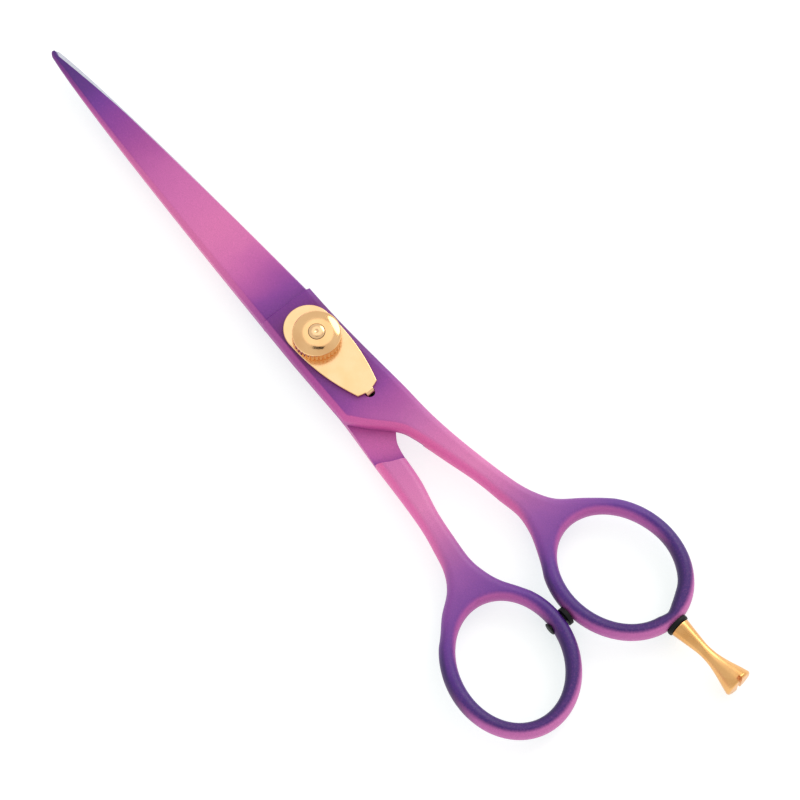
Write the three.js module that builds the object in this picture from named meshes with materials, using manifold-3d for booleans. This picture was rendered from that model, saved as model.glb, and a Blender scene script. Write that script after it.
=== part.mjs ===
// Hairdressing scissors with a knurled tension knob, a finger rest and a rubber bumper.
// Millimetres, +Z up. The pivot axis is the Z axis, the blade tips point along +X and
// the flat underside of the pivot screw's head lies on z = 0.
import * as THREE from 'three';
import { mergeVertices } from 'three/addons/utils/BufferGeometryUtils.js';
import Module from 'manifold-3d';

const wasm = await Module();
wasm.setup();

// ---------------------------------------------------------------- driving dimensions
const fineness = 40; // sides on the larger turned pieces
const smallFineness = 24; // sides on pins, bores and small turned pieces
const turn = Math.PI * 2;
const degree = Math.PI / 180;

// clearances
const faceGap = 0.05; // between flat faces that slide or clamp on each other
const boreGap = 0.08; // on the radius, between a pin and its bore
const seatGap = 0.1; // under pieces that seat on a ring's rounded outside

// the two halves, which are the same forging turned over
const halfThickness = 2.95; // one half at the pivot
const spineThickness = 1.15; // one half at the tip
const bladeLength = 79.2; // pivot axis to tip
const bladeHalfWidth = 6.05; // pivot axis to the blade's back, at the pivot
const bladeTaper = 0.595; // power of the back's curve towards the tip
const tipLead = 2.3; // how far beyond the tip that curve would close
const tipRound = 1.0; // length of the tip's rounded end
const heelReach = 9.2; // pivot axis to the heel, where the ground edge begins
const heelHalfWidth = 5.75; // pivot axis to the ricasso's edge
const edgeInset = 0.3; // how far the cutting edge stands back at the tip
const edgeLand = 0.14; // thickness left on the cutting edge
const edgeBevelWidth = 0.6; // ground bevel along the cutting edge
const edgeBevelHeight = 0.75;
const spineDrop = 0.12; // how far the blade's spine lies below the flat at the pivot
const chamferWidth = 0.95; // broad chamfer along the back and the shank
const chamferDepth = 0.85;
const elbowReach = 15.3; // pivot axis to the elbow, where the half crosses over
const elbowHalfWidth = 6.35;
const elbowFlare = 0.75; // how much the ring's side widens from the heel to the elbow
const neckReach = 26.0; // pivot axis to the inner end of the elbow's edge
const neckOffset = 1.65; // of that end from the centre line
const shankStart = 25.2; // pivot axis to where the handle takes its full thickness
const shankShoulder = 2.7; // how much further that step lies on the inner side
const shankThickness = 4.2;
const shankWidth = 4.3;

// the two rings
const ringHoleLength = 23.7;
const ringHoleWidth = 19.0;
const ringWall = 3.05;
const ringThickness = 3.5;
const shankReach = 53.9; // pivot axis to where the finger ring's wall begins
const ringSplay = 1.1; // between the centre line and the finger ring, were it not tilted
const thumbLag = 0.75; // how much further back the thumb ring begins
const thumbClose = 1.0; // how much nearer to the centre line it lies
const thumbTrim = 0.5; // how much narrower the thumb half is on its ring's side
const ringReach = shankReach + ringHoleLength / 2 + ringWall;
const ringOffset = ringSplay + ringHoleWidth / 2 + ringWall;
const fingerRing = { reach: ringReach, offset: ringOffset, tilt: 9 * degree, trim: 0 };
const thumbRing = {
  reach: ringReach + thumbLag, offset: ringOffset - thumbClose, tilt: 18 * degree, trim: thumbTrim,
};

// the pivot
const headDiameter = 8.0;
const headThickness = 0.5;
const headWasherDiameter = 7.4;
const headWasherThickness = 0.2;
const screwDiameter = 4.0;
const screwFlats = 3.1; // across the two flats that key the screw to the upper half
const screwEndDiameter = 3.0;
const screwEndDome = 0.28;
const bushingWall = 0.5;
const bladeWasherDiameter = 9.0;
const bladeWasherThickness = 0.4;

// the tension plate and the knob
const plateThickness = 0.6;
const plateHalfWidth = 4.75;
const plateNose = 7.2; // pivot axis to the plate's round end
const plateTail = 14.0; // pivot axis to the plate's shoulders
const plateTailHalfWidth = 2.35;
const plateShift = 0.15; // how far the leaf lies off the pivot, towards the finger ring
const plateTilt = 2.3 * degree;
const shoulderDrop = 0.35; // how far the tail's corners lie ahead of its shoulders
const plateRound = 0.12; // rounding of the plate's edges
const tabWidth = 1.7;
const tabReach = 0.85; // from the shoulders to the far face of the bent tab's root
const tabThickness = 0.5;
const tabDepth = 1.3; // how far the bent tab reaches into its hole
const tabHoleDiameter = 2.5;
const tabHoleDepth = 1.7;
const knobDiameter = 9.2;
const knobRim = 2.2; // height of the knurled rim
const knobDome = 1.0;
const knurlCount = 36;
const knurlDepth = 0.22;

// the bumper
const bumperHeadDiameter = 3.6;
const bumperStandOff = 0.08; // between the bumper and the other ring when closed
const bumperStemDiameter = 1.5;
const bumperTailDiameter = 2.4;
const bumperTailLength = 0.5;

// the finger rest
const restLength = 15.0;
const restNeckDiameter = 3.8; // against the washer
const restWaistDiameter = 2.3;
const restEndDiameter = 5.7;
const restRound = 0.5; // rounding of the flared end's rim
const restTilt = 4 * degree; // away from the centre line
const restBearing = 5 * degree; // round the ring from its far end, towards the other ring
const restSlotWidth = 0.9;
const restSlotDepth = 0.9;
const studDiameter = 1.9;
const studLength = 2.2;
const restWasherDiameter = 4.5;
const restWasherThickness = 0.9;
const seatDepth = 0.35; // of the flat cut into the ring for the washer

// ---------------------------------------------------------------- levels along the pivot
const headWasherBase = headThickness + faceGap;
const lowerFace = headWasherBase + headWasherThickness + faceGap;
const midPlane = lowerFace + halfThickness + faceGap;
const upperFace = midPlane + faceGap + halfThickness;
const plateBase = upperFace + faceGap;
const knobBase = plateBase + plateThickness + faceGap;
const knobTop = knobBase + knobRim + knobDome;
const boreRadius = screwDiameter / 2 + boreGap;
const bushingRadius = boreRadius + bushingWall;

// ---------------------------------------------------------------- solids and booleans

/** Indexed, closed form of a geometry with only its positions. */
function weld(geometry) {
  const bare = geometry.clone();
  bare.deleteAttribute('normal');
  bare.deleteAttribute('uv');
  return mergeVertices(bare, 1e-5);
}

/** Manifold solid of a closed geometry. */
function solid(geometry) {
  const welded = weld(geometry);
  return new wasm.Manifold(new wasm.Mesh({
    numProp: 3,
    vertProperties: new Float32Array(welded.attributes.position.array),
    triVerts: new Uint32Array(welded.index.array),
  }));
}

/** Geometry of a manifold solid. */
function geometryOf(manifold) {
  const mesh = manifold.getMesh();
  const geometry = new THREE.BufferGeometry();
  geometry.setAttribute('position', new THREE.BufferAttribute(mesh.vertProperties, 3));
  geometry.setIndex(new THREE.BufferAttribute(mesh.triVerts, 1));
  geometry.computeVertexNormals();
  return geometry;
}

/** Round bar along Z between two heights, centred on a point. */
function bar(diameter, low, high, x = 0, y = 0, sides = smallFineness) {
  const geometry = new THREE.CylinderGeometry(diameter / 2, diameter / 2, high - low, sides);
  geometry.rotateX(Math.PI / 2);
  geometry.translate(x, y, (low + high) / 2);
  return geometry;
}

/** Bar along Z with two flats facing +Y and -Y. */
function flattedBar(diameter, flats, low, high) {
  const block = new THREE.BoxGeometry(diameter * 2, flats, high - low);
  block.translate(0, 0, (low + high) / 2);
  return solid(bar(diameter, low, high)).intersect(solid(block));
}

/** Turned piece about Z from a profile of [radius, height] points. */
function turned(profile, sides) {
  const geometry = new THREE.LatheGeometry(profile.map(([r, z]) => new THREE.Vector2(r, z)), sides);
  geometry.rotateX(Math.PI / 2);
  return geometry;
}

/** Flat ring about Z with a square section. */
function washer(outerDiameter, innerDiameter, low, high, sides = fineness) {
  const outer = outerDiameter / 2;
  const inner = innerDiameter / 2;
  return turned([[inner, low], [outer, low], [outer, high], [inner, high], [inner, low]], sides);
}

/** Closed skin through sections that all have the same number of [x, y, z] points. */
function loft(sections) {
  const count = sections[0].length;
  const positions = sections.flat(2);
  const index = [];
  for (let s = 0; s + 1 < sections.length; s += 1) {
    for (let p = 0; p < count; p += 1) {
      const a = s * count + p;
      const b = s * count + (p + 1) % count;
      index.push(a, b, a + count, b, b + count, a + count);
    }
  }
  const last = (sections.length - 1) * count;
  for (let p = 1; p + 1 < count; p += 1) {
    index.push(0, p + 1, p, last, last + p, last + p + 1);
  }
  const geometry = new THREE.BufferGeometry();
  geometry.setAttribute('position', new THREE.Float32BufferAttribute(positions, 3));
  geometry.setIndex(index);
  return geometry;
}

/** Smooth value at x through [x, value] points that are in falling order of x. */
function through(points, x) {
  const curve = new THREE.SplineCurve(points.map(([px, value]) => new THREE.Vector2(px, value)));
  let low = 0;
  let high = 1;
  for (let step = 0; step < 30; step += 1) {
    const middle = (low + high) / 2;
    if (curve.getPoint(middle).x > x) low = middle;
    else high = middle;
  }
  return curve.getPoint((low + high) / 2).y;
}

// ---------------------------------------------------------------- one half of the scissors
// A half is made lying on its inner face at z = 0 with its ring on the -Y side; the lower
// half is the same shape turned over about the X axis.

/** Point on a ring's hole, grown outwards by a wall; angle 0 points at the blade. */
function ringPoint(ring, angle, grow) {
  const along = Math.cos(angle) * (ringHoleLength / 2 + grow);
  const across = Math.sin(angle) * (ringHoleWidth / 2 + grow);
  return new THREE.Vector2(
    -ring.reach + along * Math.cos(ring.tilt) - across * Math.sin(ring.tilt),
    -ring.offset + along * Math.sin(ring.tilt) + across * Math.cos(ring.tilt),
  );
}

/** Points on a ring's outline between two angles. */
function ringArc(ring, from, to, grow, steps) {
  return Array.from({ length: steps + 1 }, (_, i) => ringPoint(ring, from + ((to - from) * i) / steps, grow));
}

/** The blade's back, as a distance from the centre line. */
function backWidth(x) {
  if (x >= 0) {
    const taper = (1 - Math.min(x, bladeLength) / (bladeLength + tipLead)) ** bladeTaper;
    const nose = Math.max((x - bladeLength) / tipRound + 1, 0);
    return bladeHalfWidth * taper * Math.sqrt(Math.max(1 - nose ** 2, 0));
  }
  return bladeHalfWidth + ((elbowHalfWidth - bladeHalfWidth) * -x) / elbowReach;
}

/** Centre line of the shank at x, tied to the ring that it ends in. */
function shankCentre(ring, x) {
  const elbow = [-elbowReach, -(heelHalfWidth + elbowFlare - shankWidth / 2)];
  const neck = [-neckReach - 1.5, -(neckOffset + shankWidth * 0.7)];
  const junction = [-ring.reach + 24, -ring.offset + 5.2];
  const middle = [(neck[0] + junction[0]) / 2, (neck[1] + junction[1]) / 2 + 0.1];
  return through([elbow, neck, middle, junction], x);
}

/** Outer edge of a half behind the heel, on the ring's side. */
function outerEdge(ring, x) {
  const shank = shankCentre(ring, -40) - shankWidth / 2;
  const heel = heelHalfWidth - ring.trim;
  return through([[heelReach + 2, -heel], [0, -heel], [-elbowReach, -heel - elbowFlare],
    [-neckReach, shankCentre(ring, -neckReach) - shankWidth * 0.62], [-40, shank], [-48, shank - 1.9]], x);
}

/** Inner edge of a half: the blade's back, then the elbow's edge, then the shank. */
function innerEdge(ring, x) {
  if (x >= -elbowReach) return backWidth(x);
  const shank = shankCentre(ring, -40) + shankWidth / 2;
  return through([[-elbowReach, elbowHalfWidth], [-elbowReach - 3.3, elbowHalfWidth - 2.65],
    [-elbowReach - 7.6, -0.2], [-neckReach, -neckOffset], [-33, shank + 1.7], [-40, shank],
    [-48, shank - 1.1]], x);
}

/** Section of the ground blade at x. */
function bladeSection(x) {
  const along = x / bladeLength;
  const back = Math.max(backWidth(x), 0.12);
  const edge = -Math.max(backWidth(x) - edgeInset * along, 0.1);
  const top = halfThickness - spineDrop + (spineThickness - halfThickness + spineDrop) * along;
  const span = back - edge;
  const bevel = Math.min(edgeBevelWidth, span * 0.3);
  const chamfer = Math.min(chamferWidth, span * 0.25);
  const drop = Math.min(chamferDepth, top * 0.4) * (chamfer / chamferWidth);
  return [[x, edge, 0], [x, edge, edgeLand], [x, edge + bevel, edgeBevelHeight + (top - edgeBevelHeight) * 0.45],
    [x, back - chamfer, top], [x, back, top - drop], [x, back, 0]];
}

/** Section of the flat at the pivot and of the shank's upper side at x. */
function flatSection(ring, x) {
  const low = outerEdge(ring, x);
  const high = innerEdge(ring, x);
  const fall = THREE.MathUtils.smoothstep(-x, elbowReach, elbowReach + 26);
  const top = halfThickness + (shankThickness / 2 - 0.05 - halfThickness) * fall;
  const chamfer = Math.min(chamferWidth, (high - low) * 0.3);
  const drop = Math.min(chamferDepth, top * 0.4);
  return [[x, low, 0], [x, low, top - drop], [x, low + chamfer, top],
    [x, high - chamfer, top], [x, high, top - drop], [x, high, 0]];
}

/** Points given from a ring's outer end, along and across the scissors. */
function fromRing(ring, points) {
  const end = -ring.reach + ringHoleLength / 2 + ringWall;
  return points.map(([along, across]) => new THREE.Vector2(end + along, -ring.offset + across));
}

/** The handle: shank and ring with rounded edges, around the middle plane. */
function handle(ring) {
  const round = ringThickness * 0.36;
  const inset = round * 0.9;
  const wall = ringWall - inset;
  const edge = (edgeOf, side, xs) => xs.map((x) => new THREE.Vector2(x, edgeOf(ring, x) + side * inset));
  const outer = edge(outerEdge, 1, [-shankStart - inset, -30, -35, -40, -44.5]);
  const inner = edge(innerEdge, -1, [-44.5, -40, -35, -31, -shankStart - shankShoulder - inset]);
  const flareOut = fromRing(ring, [[5.7, 1.8 + inset], [2.4, -0.3 + inset], [-0.4 - inset * 0.7, -3.85 + inset * 0.5]]);
  const flareIn = fromRing(ring, [[-2.15 - inset * 0.3, 8.6 - inset], [0.85, 7.55 - inset], [4.6, 7.05 - inset]]);
  const from = -33 * degree - ring.tilt;
  const to = -309 * degree - ring.tilt;
  const overlap = 10 * degree;
  const intoRing = [ringPoint(ring, from, wall), ringPoint(ring, from - overlap, wall)];
  const outOfRing = [ringPoint(ring, to + overlap, wall), ringPoint(ring, to, wall)];
  const outline = new THREE.Shape([
    ...new THREE.SplineCurve([...outer, ...flareOut, ...intoRing]).getPoints(30),
    ...ringArc(ring, from - overlap, to + overlap, wall, 30).slice(1, -1),
    ...new THREE.SplineCurve([...outOfRing, ...flareIn, ...inner]).getPoints(30),
  ]);
  outline.holes.push(new THREE.Path(ringArc(ring, 0, turn, inset, 40).slice(0, -1)));
  const geometry = new THREE.ExtrudeGeometry(outline, {
    depth: ringThickness - 2 * round,
    bevelThickness: round,
    bevelSize: inset,
    bevelSegments: 3,
  });
  geometry.translate(0, 0, -ringThickness / 2 + round);
  return solid(geometry);
}

/** A whole half before its bores: ground blade, flat at the pivot, shank and ring. */
function half(ring) {
  const blade = [];
  for (let step = 0; step <= 18; step += 1) {
    const along = 1 - (1 - step / 18) ** 1.9;
    blade.push(bladeSection(heelReach + (bladeLength - 0.02 - heelReach) * along));
  }
  const flat = [];
  const flatEnd = -44;
  for (let x = heelReach + 0.15; x > flatEnd; x -= 1.8) flat.push(flatSection(ring, x));
  flat.push(flatSection(ring, flatEnd));
  return solid(loft(blade.reverse()))
    .add(solid(loft(flat)))
    .add(handle(ring));
}

/** Tool that lowers a half's inner face by the sliding gap ahead of the handle's step. */
function crossingRelief(ring) {
  const relief = new THREE.BoxGeometry(bladeLength * 3, 60, ringThickness);
  relief.translate(bladeLength * 1.5 - shankStart + 0.01, 0, faceGap - ringThickness / 2);
  return solid(relief);
}

// ---------------------------------------------------------------- the named pieces

const coating = { color: 0x9a4fa0, roughness: 0.42, metalness: 0.35 };
const gold = { color: 0xe8b870, roughness: 0.2, metalness: 1.0 };
const steel = { color: 0xc7c9d3, roughness: 0.3, metalness: 1.0 };
const rubber = { color: 0x14191b, roughness: 0.7, metalness: 0.0 };
const nylon = { color: 0xe9e7df, roughness: 0.5, metalness: 0.0 };

const model = new THREE.Group();

/** Adds one named mesh to a group. */
function addPiece(group, name, geometry, finish) {
  const mesh = new THREE.Mesh(geometry, new THREE.MeshStandardMaterial(finish));
  mesh.name = name;
  group.add(mesh);
  return mesh;
}

/** Direction in which the finger rest leaves the ring, in the half's own plane. */
const restAxis = new THREE.Vector2(-Math.cos(restTilt), -Math.sin(restTilt));
const restSeat = ringPoint(fingerRing, Math.PI - restBearing, ringWall)
  .addScaledVector(restAxis, -seatDepth);

/** Bar along the finger rest's axis, from one distance past its seat to another. */
function restBar(diameter, low, high) {
  const geometry = new THREE.CylinderGeometry(diameter / 2, diameter / 2, high - low, smallFineness);
  geometry.translate(0, (low + high) / 2, 0);
  geometry.rotateZ(Math.PI / 2 + restTilt);
  geometry.translate(restSeat.x, restSeat.y, 0);
  return solid(geometry);
}

/** Upper half: keyed bore, blind hole for the plate's tab, seat and thread for the rest. */
function upperHalf() {
  const tabHole = bar(tabHoleDiameter, halfThickness - tabHoleDepth, halfThickness + 5,
    -plateTail - tabHoleDiameter * 0.2, -plateTail * Math.sin(plateTilt) - plateShift);
  return half(fingerRing)
    .subtract(crossingRelief(fingerRing))
    .subtract(flattedBar(screwDiameter + 2 * boreGap, screwFlats + 2 * boreGap, -1, halfThickness + 1))
    .subtract(solid(tabHole))
    .subtract(restBar(restWasherDiameter + 1, 0, 6))
    .subtract(restBar(studDiameter + 2 * boreGap, -studLength - boreGap, 1));
}

/** How near a ring comes to the centre line, grown outwards by a wall. */
function ringNearSide(ring, grow) {
  const along = (ringHoleLength / 2 + grow) * Math.cos(ring.tilt);
  const across = (ringHoleWidth / 2 + grow) * Math.sin(ring.tilt);
  return ringPoint(ring, Math.atan2(along, across), grow).y;
}

// Where the bumper passes through the thumb ring: the ring's inner and outer wall, and the
// outer wall of the finger ring that it closes on.
const bumperInner = ringNearSide(thumbRing, 0);
const bumperOuter = ringNearSide(thumbRing, ringWall);
const bumperStop = -ringNearSide(fingerRing, ringWall);

/** Bar along Y at the bumper's place in the thumb ring. */
function bumperBar(diameter, low, high) {
  const geometry = new THREE.CylinderGeometry(diameter / 2, diameter / 2, high - low, smallFineness);
  geometry.translate(-thumbRing.reach, (low + high) / 2, 0);
  return solid(geometry);
}

/** Lower half: bore for the bushing, recess for the washer, hole for the bumper. */
function lowerHalf() {
  const recess = bar(bladeWasherDiameter + 2 * boreGap, -1, faceGap + bladeWasherThickness, 0, 0, fineness);
  const bore = bar(2 * (bushingRadius + boreGap), -1, halfThickness + 2, 0, 0, fineness);
  return half(thumbRing)
    .subtract(crossingRelief(thumbRing))
    .subtract(solid(recess))
    .subtract(solid(bore))
    .subtract(bumperBar(bumperStemDiameter + 2 * boreGap, bumperInner - 2, bumperOuter + 2));
}

const upper = new THREE.Group();
upper.position.z = midPlane;
model.add(upper);
addPiece(upper, 'upper_half', geometryOf(upperHalf()), coating);

const lower = new THREE.Group();
lower.position.z = midPlane;
lower.rotation.x = Math.PI;
model.add(lower);
addPiece(lower, 'lower_half', geometryOf(lowerHalf()), coating);

/** Pivot screw: flat head, round journal, two flats, plain end with a domed tip. */
function pivotScrew() {
  const journalTop = midPlane + faceGap;
  const endRadius = screwEndDiameter / 2;
  const journal = turned([[0, 0], [headDiameter / 2 - 0.15, 0], [headDiameter / 2, 0.15],
    [headDiameter / 2, headThickness], [screwDiameter / 2, headThickness],
    [screwDiameter / 2, journalTop], [0, journalTop]], fineness);
  const key = flattedBar(screwDiameter, screwFlats, journalTop - 0.2, knobBase - faceGap);
  const end = turned([[0, journalTop], [endRadius, journalTop], [endRadius, knobTop],
    [endRadius * 0.6, knobTop + screwEndDome * 0.8], [0, knobTop + screwEndDome]], smallFineness);
  return solid(journal).add(key).add(solid(end));
}

addPiece(model, 'pivot_screw', geometryOf(pivotScrew()), gold);
addPiece(model, 'head_washer',
  washer(headWasherDiameter, 2 * boreRadius, headWasherBase, headWasherBase + headWasherThickness), nylon);
addPiece(model, 'pivot_bushing',
  washer(2 * bushingRadius, 2 * boreRadius, lowerFace, midPlane - 2 * faceGap - bladeWasherThickness - faceGap),
  nylon);
addPiece(model, 'blade_washer',
  washer(bladeWasherDiameter, 2 * boreRadius, midPlane - faceGap - bladeWasherThickness, midPlane - 0.01), nylon);

/** Outline of the tension plate: round nose, long taper, two shoulders and the tab's root. */
function plateOutline() {
  const outline = new THREE.Shape();
  const noseRadius = plateHalfWidth;
  const noseCentre = plateNose - noseRadius;
  outline.moveTo(noseCentre, noseRadius);
  outline.bezierCurveTo(-plateTail * 0.35, noseRadius * 1.06, -plateTail * 0.7, noseRadius * 0.78,
    -plateTail + shoulderDrop, plateTailHalfWidth);
  outline.lineTo(-plateTail + shoulderDrop * 0.15, plateTailHalfWidth * 0.62);
  outline.lineTo(-plateTail - shoulderDrop * 0.3, tabWidth / 2);
  outline.lineTo(-plateTail - tabReach, tabWidth / 2);
  outline.lineTo(-plateTail - tabReach, -tabWidth / 2);
  outline.lineTo(-plateTail - shoulderDrop * 0.3, -tabWidth / 2);
  outline.lineTo(-plateTail + shoulderDrop * 0.15, -plateTailHalfWidth * 0.62);
  outline.lineTo(-plateTail + shoulderDrop, -plateTailHalfWidth);
  outline.bezierCurveTo(-plateTail * 0.7, -noseRadius * 0.78, -plateTail * 0.35, -noseRadius * 1.06,
    noseCentre, -noseRadius);
  outline.absarc(noseCentre, 0, noseRadius, -Math.PI / 2, Math.PI / 2, false);
  return outline;
}

/** Tension plate: a leaf keyed on the screw's flats, with its tail bent into the upper half. */
function tensionPlate() {
  const leaf = new THREE.ExtrudeGeometry(plateOutline(), {
    depth: plateThickness - 2 * plateRound,
    bevelThickness: plateRound,
    bevelSize: plateRound,
    bevelOffset: -plateRound,
    bevelSegments: 1,
    curveSegments: 14,
  });
  leaf.translate(0, 0, plateBase + plateRound);
  const tab = new THREE.BoxGeometry(tabThickness, tabWidth - 2 * boreGap, tabDepth + plateThickness);
  tab.translate(-plateTail - tabReach + tabThickness / 2 + 0.1, 0,
    plateBase + (plateThickness - tabDepth) / 2 - 0.02);
  for (const sheet of [leaf, tab]) {
    sheet.rotateZ(plateTilt);
    sheet.translate(0, -plateShift, 0);
  }
  return solid(leaf).add(solid(tab))
    .subtract(flattedBar(screwDiameter + 2 * boreGap, screwFlats + 2 * boreGap, 0, knobTop));
}

addPiece(model, 'tension_plate', geometryOf(tensionPlate()), gold);

/** Tension knob: a knurled rim under a low dome, with a plain bore for the screw's end. */
function tensionKnob() {
  const outline = new THREE.Shape();
  const steps = knurlCount * 2;
  for (let i = 0; i < steps; i += 1) {
    const radius = knobDiameter / 2 - (i % 2 ? knurlDepth : 0);
    const angle = (turn * i) / steps;
    if (i) outline.lineTo(radius * Math.cos(angle), radius * Math.sin(angle));
    else outline.moveTo(radius, 0);
  }
  const rim = new THREE.ExtrudeGeometry(outline, { depth: knobRim, bevelEnabled: false });
  rim.translate(0, 0, knobBase);
  const domeRadius = knobDiameter / 2 - knurlDepth - 0.15;
  const profile = [[0, knobBase + knobRim / 2], [domeRadius, knobBase + knobRim / 2]];
  for (let i = 0; i <= 6; i += 1) {
    const angle = (Math.PI / 2) * (i / 6);
    profile.push([domeRadius * Math.cos(angle), knobBase + knobRim + knobDome * Math.sin(angle)]);
  }
  profile[profile.length - 1][0] = 0;
  return solid(rim).add(solid(turned(profile, fineness)))
    .subtract(solid(bar(screwEndDiameter + 2 * boreGap, 0, knobTop + 5)));
}

addPiece(model, 'tension_knob', geometryOf(tensionKnob()), gold);

/** Bumper: a rubber plug with a round head between the rings and a button inside the ring. */
function bumper() {
  const headBase = bumperOuter + seatGap;
  const tailBase = bumperInner - 2 * seatGap;
  const head = bumperBar(bumperHeadDiameter, headBase, bumperStop - bumperStandOff);
  const stem = bumperBar(bumperStemDiameter, tailBase - bumperTailLength / 2, headBase + seatGap);
  const tail = bumperBar(bumperTailDiameter, tailBase - bumperTailLength, tailBase);
  return head.add(stem).add(tail);
}

addPiece(lower, 'bumper', geometryOf(bumper()), rubber);

/** Places a piece turned about its own +Y on the finger rest's seat. */
function restGroup() {
  const group = new THREE.Group();
  group.position.set(restSeat.x, restSeat.y, 0);
  group.rotation.z = Math.PI / 2 + restTilt;
  upper.add(group);
  return group;
}

/** Finger rest: threaded stud, slim waist and a flared end with a screwdriver slot. */
function fingerRest() {
  const base = seatGap * 2 + restWasherThickness;
  const end = base + restLength;
  const neck = restNeckDiameter / 2;
  const waist = restWaistDiameter / 2;
  const flare = restEndDiameter / 2;
  const profile = new THREE.SplineCurve([
    new THREE.Vector2(neck, base + 0.25),
    new THREE.Vector2(neck * 0.87, base + restLength * 0.13),
    new THREE.Vector2(waist * 1.1, base + restLength * 0.32),
    new THREE.Vector2(waist, base + restLength * 0.43),
    new THREE.Vector2(waist * 1.12, base + restLength * 0.56),
    new THREE.Vector2(flare * 0.62, base + restLength * 0.71),
    new THREE.Vector2(flare * 0.85, base + restLength * 0.86),
    new THREE.Vector2(flare, end - restRound),
  ]).getPoints(18);
  const points = [
    new THREE.Vector2(0, -studLength),
    new THREE.Vector2(studDiameter / 2, -studLength),
    new THREE.Vector2(studDiameter / 2, base),
    new THREE.Vector2(neck * 0.9, base),
    ...profile,
    new THREE.Vector2(flare - restRound * 0.3, end - restRound * 0.3),
    new THREE.Vector2(flare - restRound, end),
    new THREE.Vector2(0, end),
  ];
  const slot = new THREE.BoxGeometry(restSlotWidth, restSlotDepth * 2, restEndDiameter * 2);
  slot.translate(0, end, 0);
  return solid(new THREE.LatheGeometry(points, smallFineness)).subtract(solid(slot));
}

const restMount = restGroup();
addPiece(restMount, 'finger_rest', geometryOf(fingerRest()), gold);
const restWasher = washer(restWasherDiameter, studDiameter + 2 * boreGap, 0, restWasherThickness, smallFineness);
restWasher.rotateX(-Math.PI / 2);
restWasher.translate(0, seatGap, 0);
addPiece(restMount, 'finger_rest_washer', restWasher, rubber);

export default model;
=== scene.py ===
"""Hairdressing scissors with a tension knob, a leaf plate, a finger rest and a bumper.

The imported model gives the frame: the pivot axis is the Z axis, the blade tips point along
+X and the scissors lie on z = 0. Sizes in this file are millimetres until a mesh is made.
"""
import logging
import math
from dataclasses import dataclass, field
from enum import Enum
from typing import Callable, Iterable, Sequence

import bpy
import numpy as np
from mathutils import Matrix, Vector


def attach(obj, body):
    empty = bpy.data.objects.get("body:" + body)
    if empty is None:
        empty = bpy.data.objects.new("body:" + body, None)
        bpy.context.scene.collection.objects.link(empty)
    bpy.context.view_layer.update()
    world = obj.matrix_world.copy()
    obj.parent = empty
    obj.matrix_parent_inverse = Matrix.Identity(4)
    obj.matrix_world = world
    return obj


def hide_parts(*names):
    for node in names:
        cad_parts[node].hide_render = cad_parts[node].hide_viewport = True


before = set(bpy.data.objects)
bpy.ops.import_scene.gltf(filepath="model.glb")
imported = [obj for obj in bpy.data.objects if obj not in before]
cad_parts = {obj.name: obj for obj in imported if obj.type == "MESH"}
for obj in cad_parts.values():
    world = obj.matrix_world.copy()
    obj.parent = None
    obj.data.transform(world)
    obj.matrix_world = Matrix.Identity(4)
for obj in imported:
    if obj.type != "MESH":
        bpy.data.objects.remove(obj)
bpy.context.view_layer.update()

Array = np.ndarray
MM = 0.001
TAU = 2.0 * math.pi
LOG = logging.getLogger("scissors")


class Slot(Enum):
    """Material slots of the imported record."""

    SPRAYED = "sprayed_steel"
    GOLD = "gold_plate"
    RUBBER = "black_rubber"
    NYLON = "nylon"


class Side(Enum):
    """The two long edges of a half, seen with its inner face down."""

    EDGE = -1
    BACK = 1


# ------------------------------------------------------------------ curves and surfaces


def smoothstep(low: float, high: float, value: Array) -> Array:
    """Rise from 0 at low to 1 at high along 3t^2 - 2t^3.

    Args:
        low: value where the rise starts.
        high: value where it ends; below low, it falls instead.
        value: where to read it.

    Returns:
        The step at each value.
    """
    t = np.clip((np.asarray(value, float) - low) / (high - low), 0.0, 1.0)
    return t * t * (3.0 - 2.0 * t)


def spline(points: Sequence[Sequence[float]], per_span: int = 24) -> Array:
    """Smooth curve through points: a uniform Catmull-Rom spline with doubled ends.

    Each span blends its four nearest points with the cubic
    0.5 (2b + (c - a)t + (2a - 5b + 4c - d)t^2 + (3b - a - 3c + d)t^3).

    Args:
        points: the points to pass through.
        per_span: samples on each span.

    Returns:
        Samples along the curve, one row each.
    """
    p = np.asarray(points, float)
    p = np.vstack([p[:1], p, p[-1:]])
    t = np.linspace(0.0, 1.0, per_span, endpoint=False)[None, :, None]
    a, b, c, d = (p[k:len(p) - 3 + k][:, None, :] for k in range(4))
    body = 0.5 * (2 * b + (c - a) * t + (2 * a - 5 * b + 4 * c - d) * t**2
                  + (3 * b - a - 3 * c + d) * t**3)
    return np.vstack([body.reshape(-1, p.shape[1]), p[-1:]])


def resample(path: Array, fractions: Array) -> Array:
    """Points at given fractions of a path's length.

    Args:
        path: points along the path.
        fractions: 0 at its start to 1 at its end.

    Returns:
        One point for each fraction.
    """
    steps = np.linalg.norm(np.diff(path, axis=0), axis=1)
    reach = np.concatenate([[0.0], np.cumsum(steps)])
    wanted = np.asarray(fractions) * reach[-1]
    return np.stack([np.interp(wanted, reach, path[:, k]) for k in range(path.shape[1])], axis=1)


def value_curve(points: Sequence[Sequence[float]]) -> Callable[[Array], Array]:
    """Smooth value as a function of x through [x, value] points.

    Args:
        points: pairs in falling or rising order of x.

    Returns:
        A function that reads the curve at an array of x.
    """
    path = spline(points, 40)
    order = np.argsort(path[:, 0])
    return lambda x: np.interp(x, path[order, 0], path[order, 1])


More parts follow.
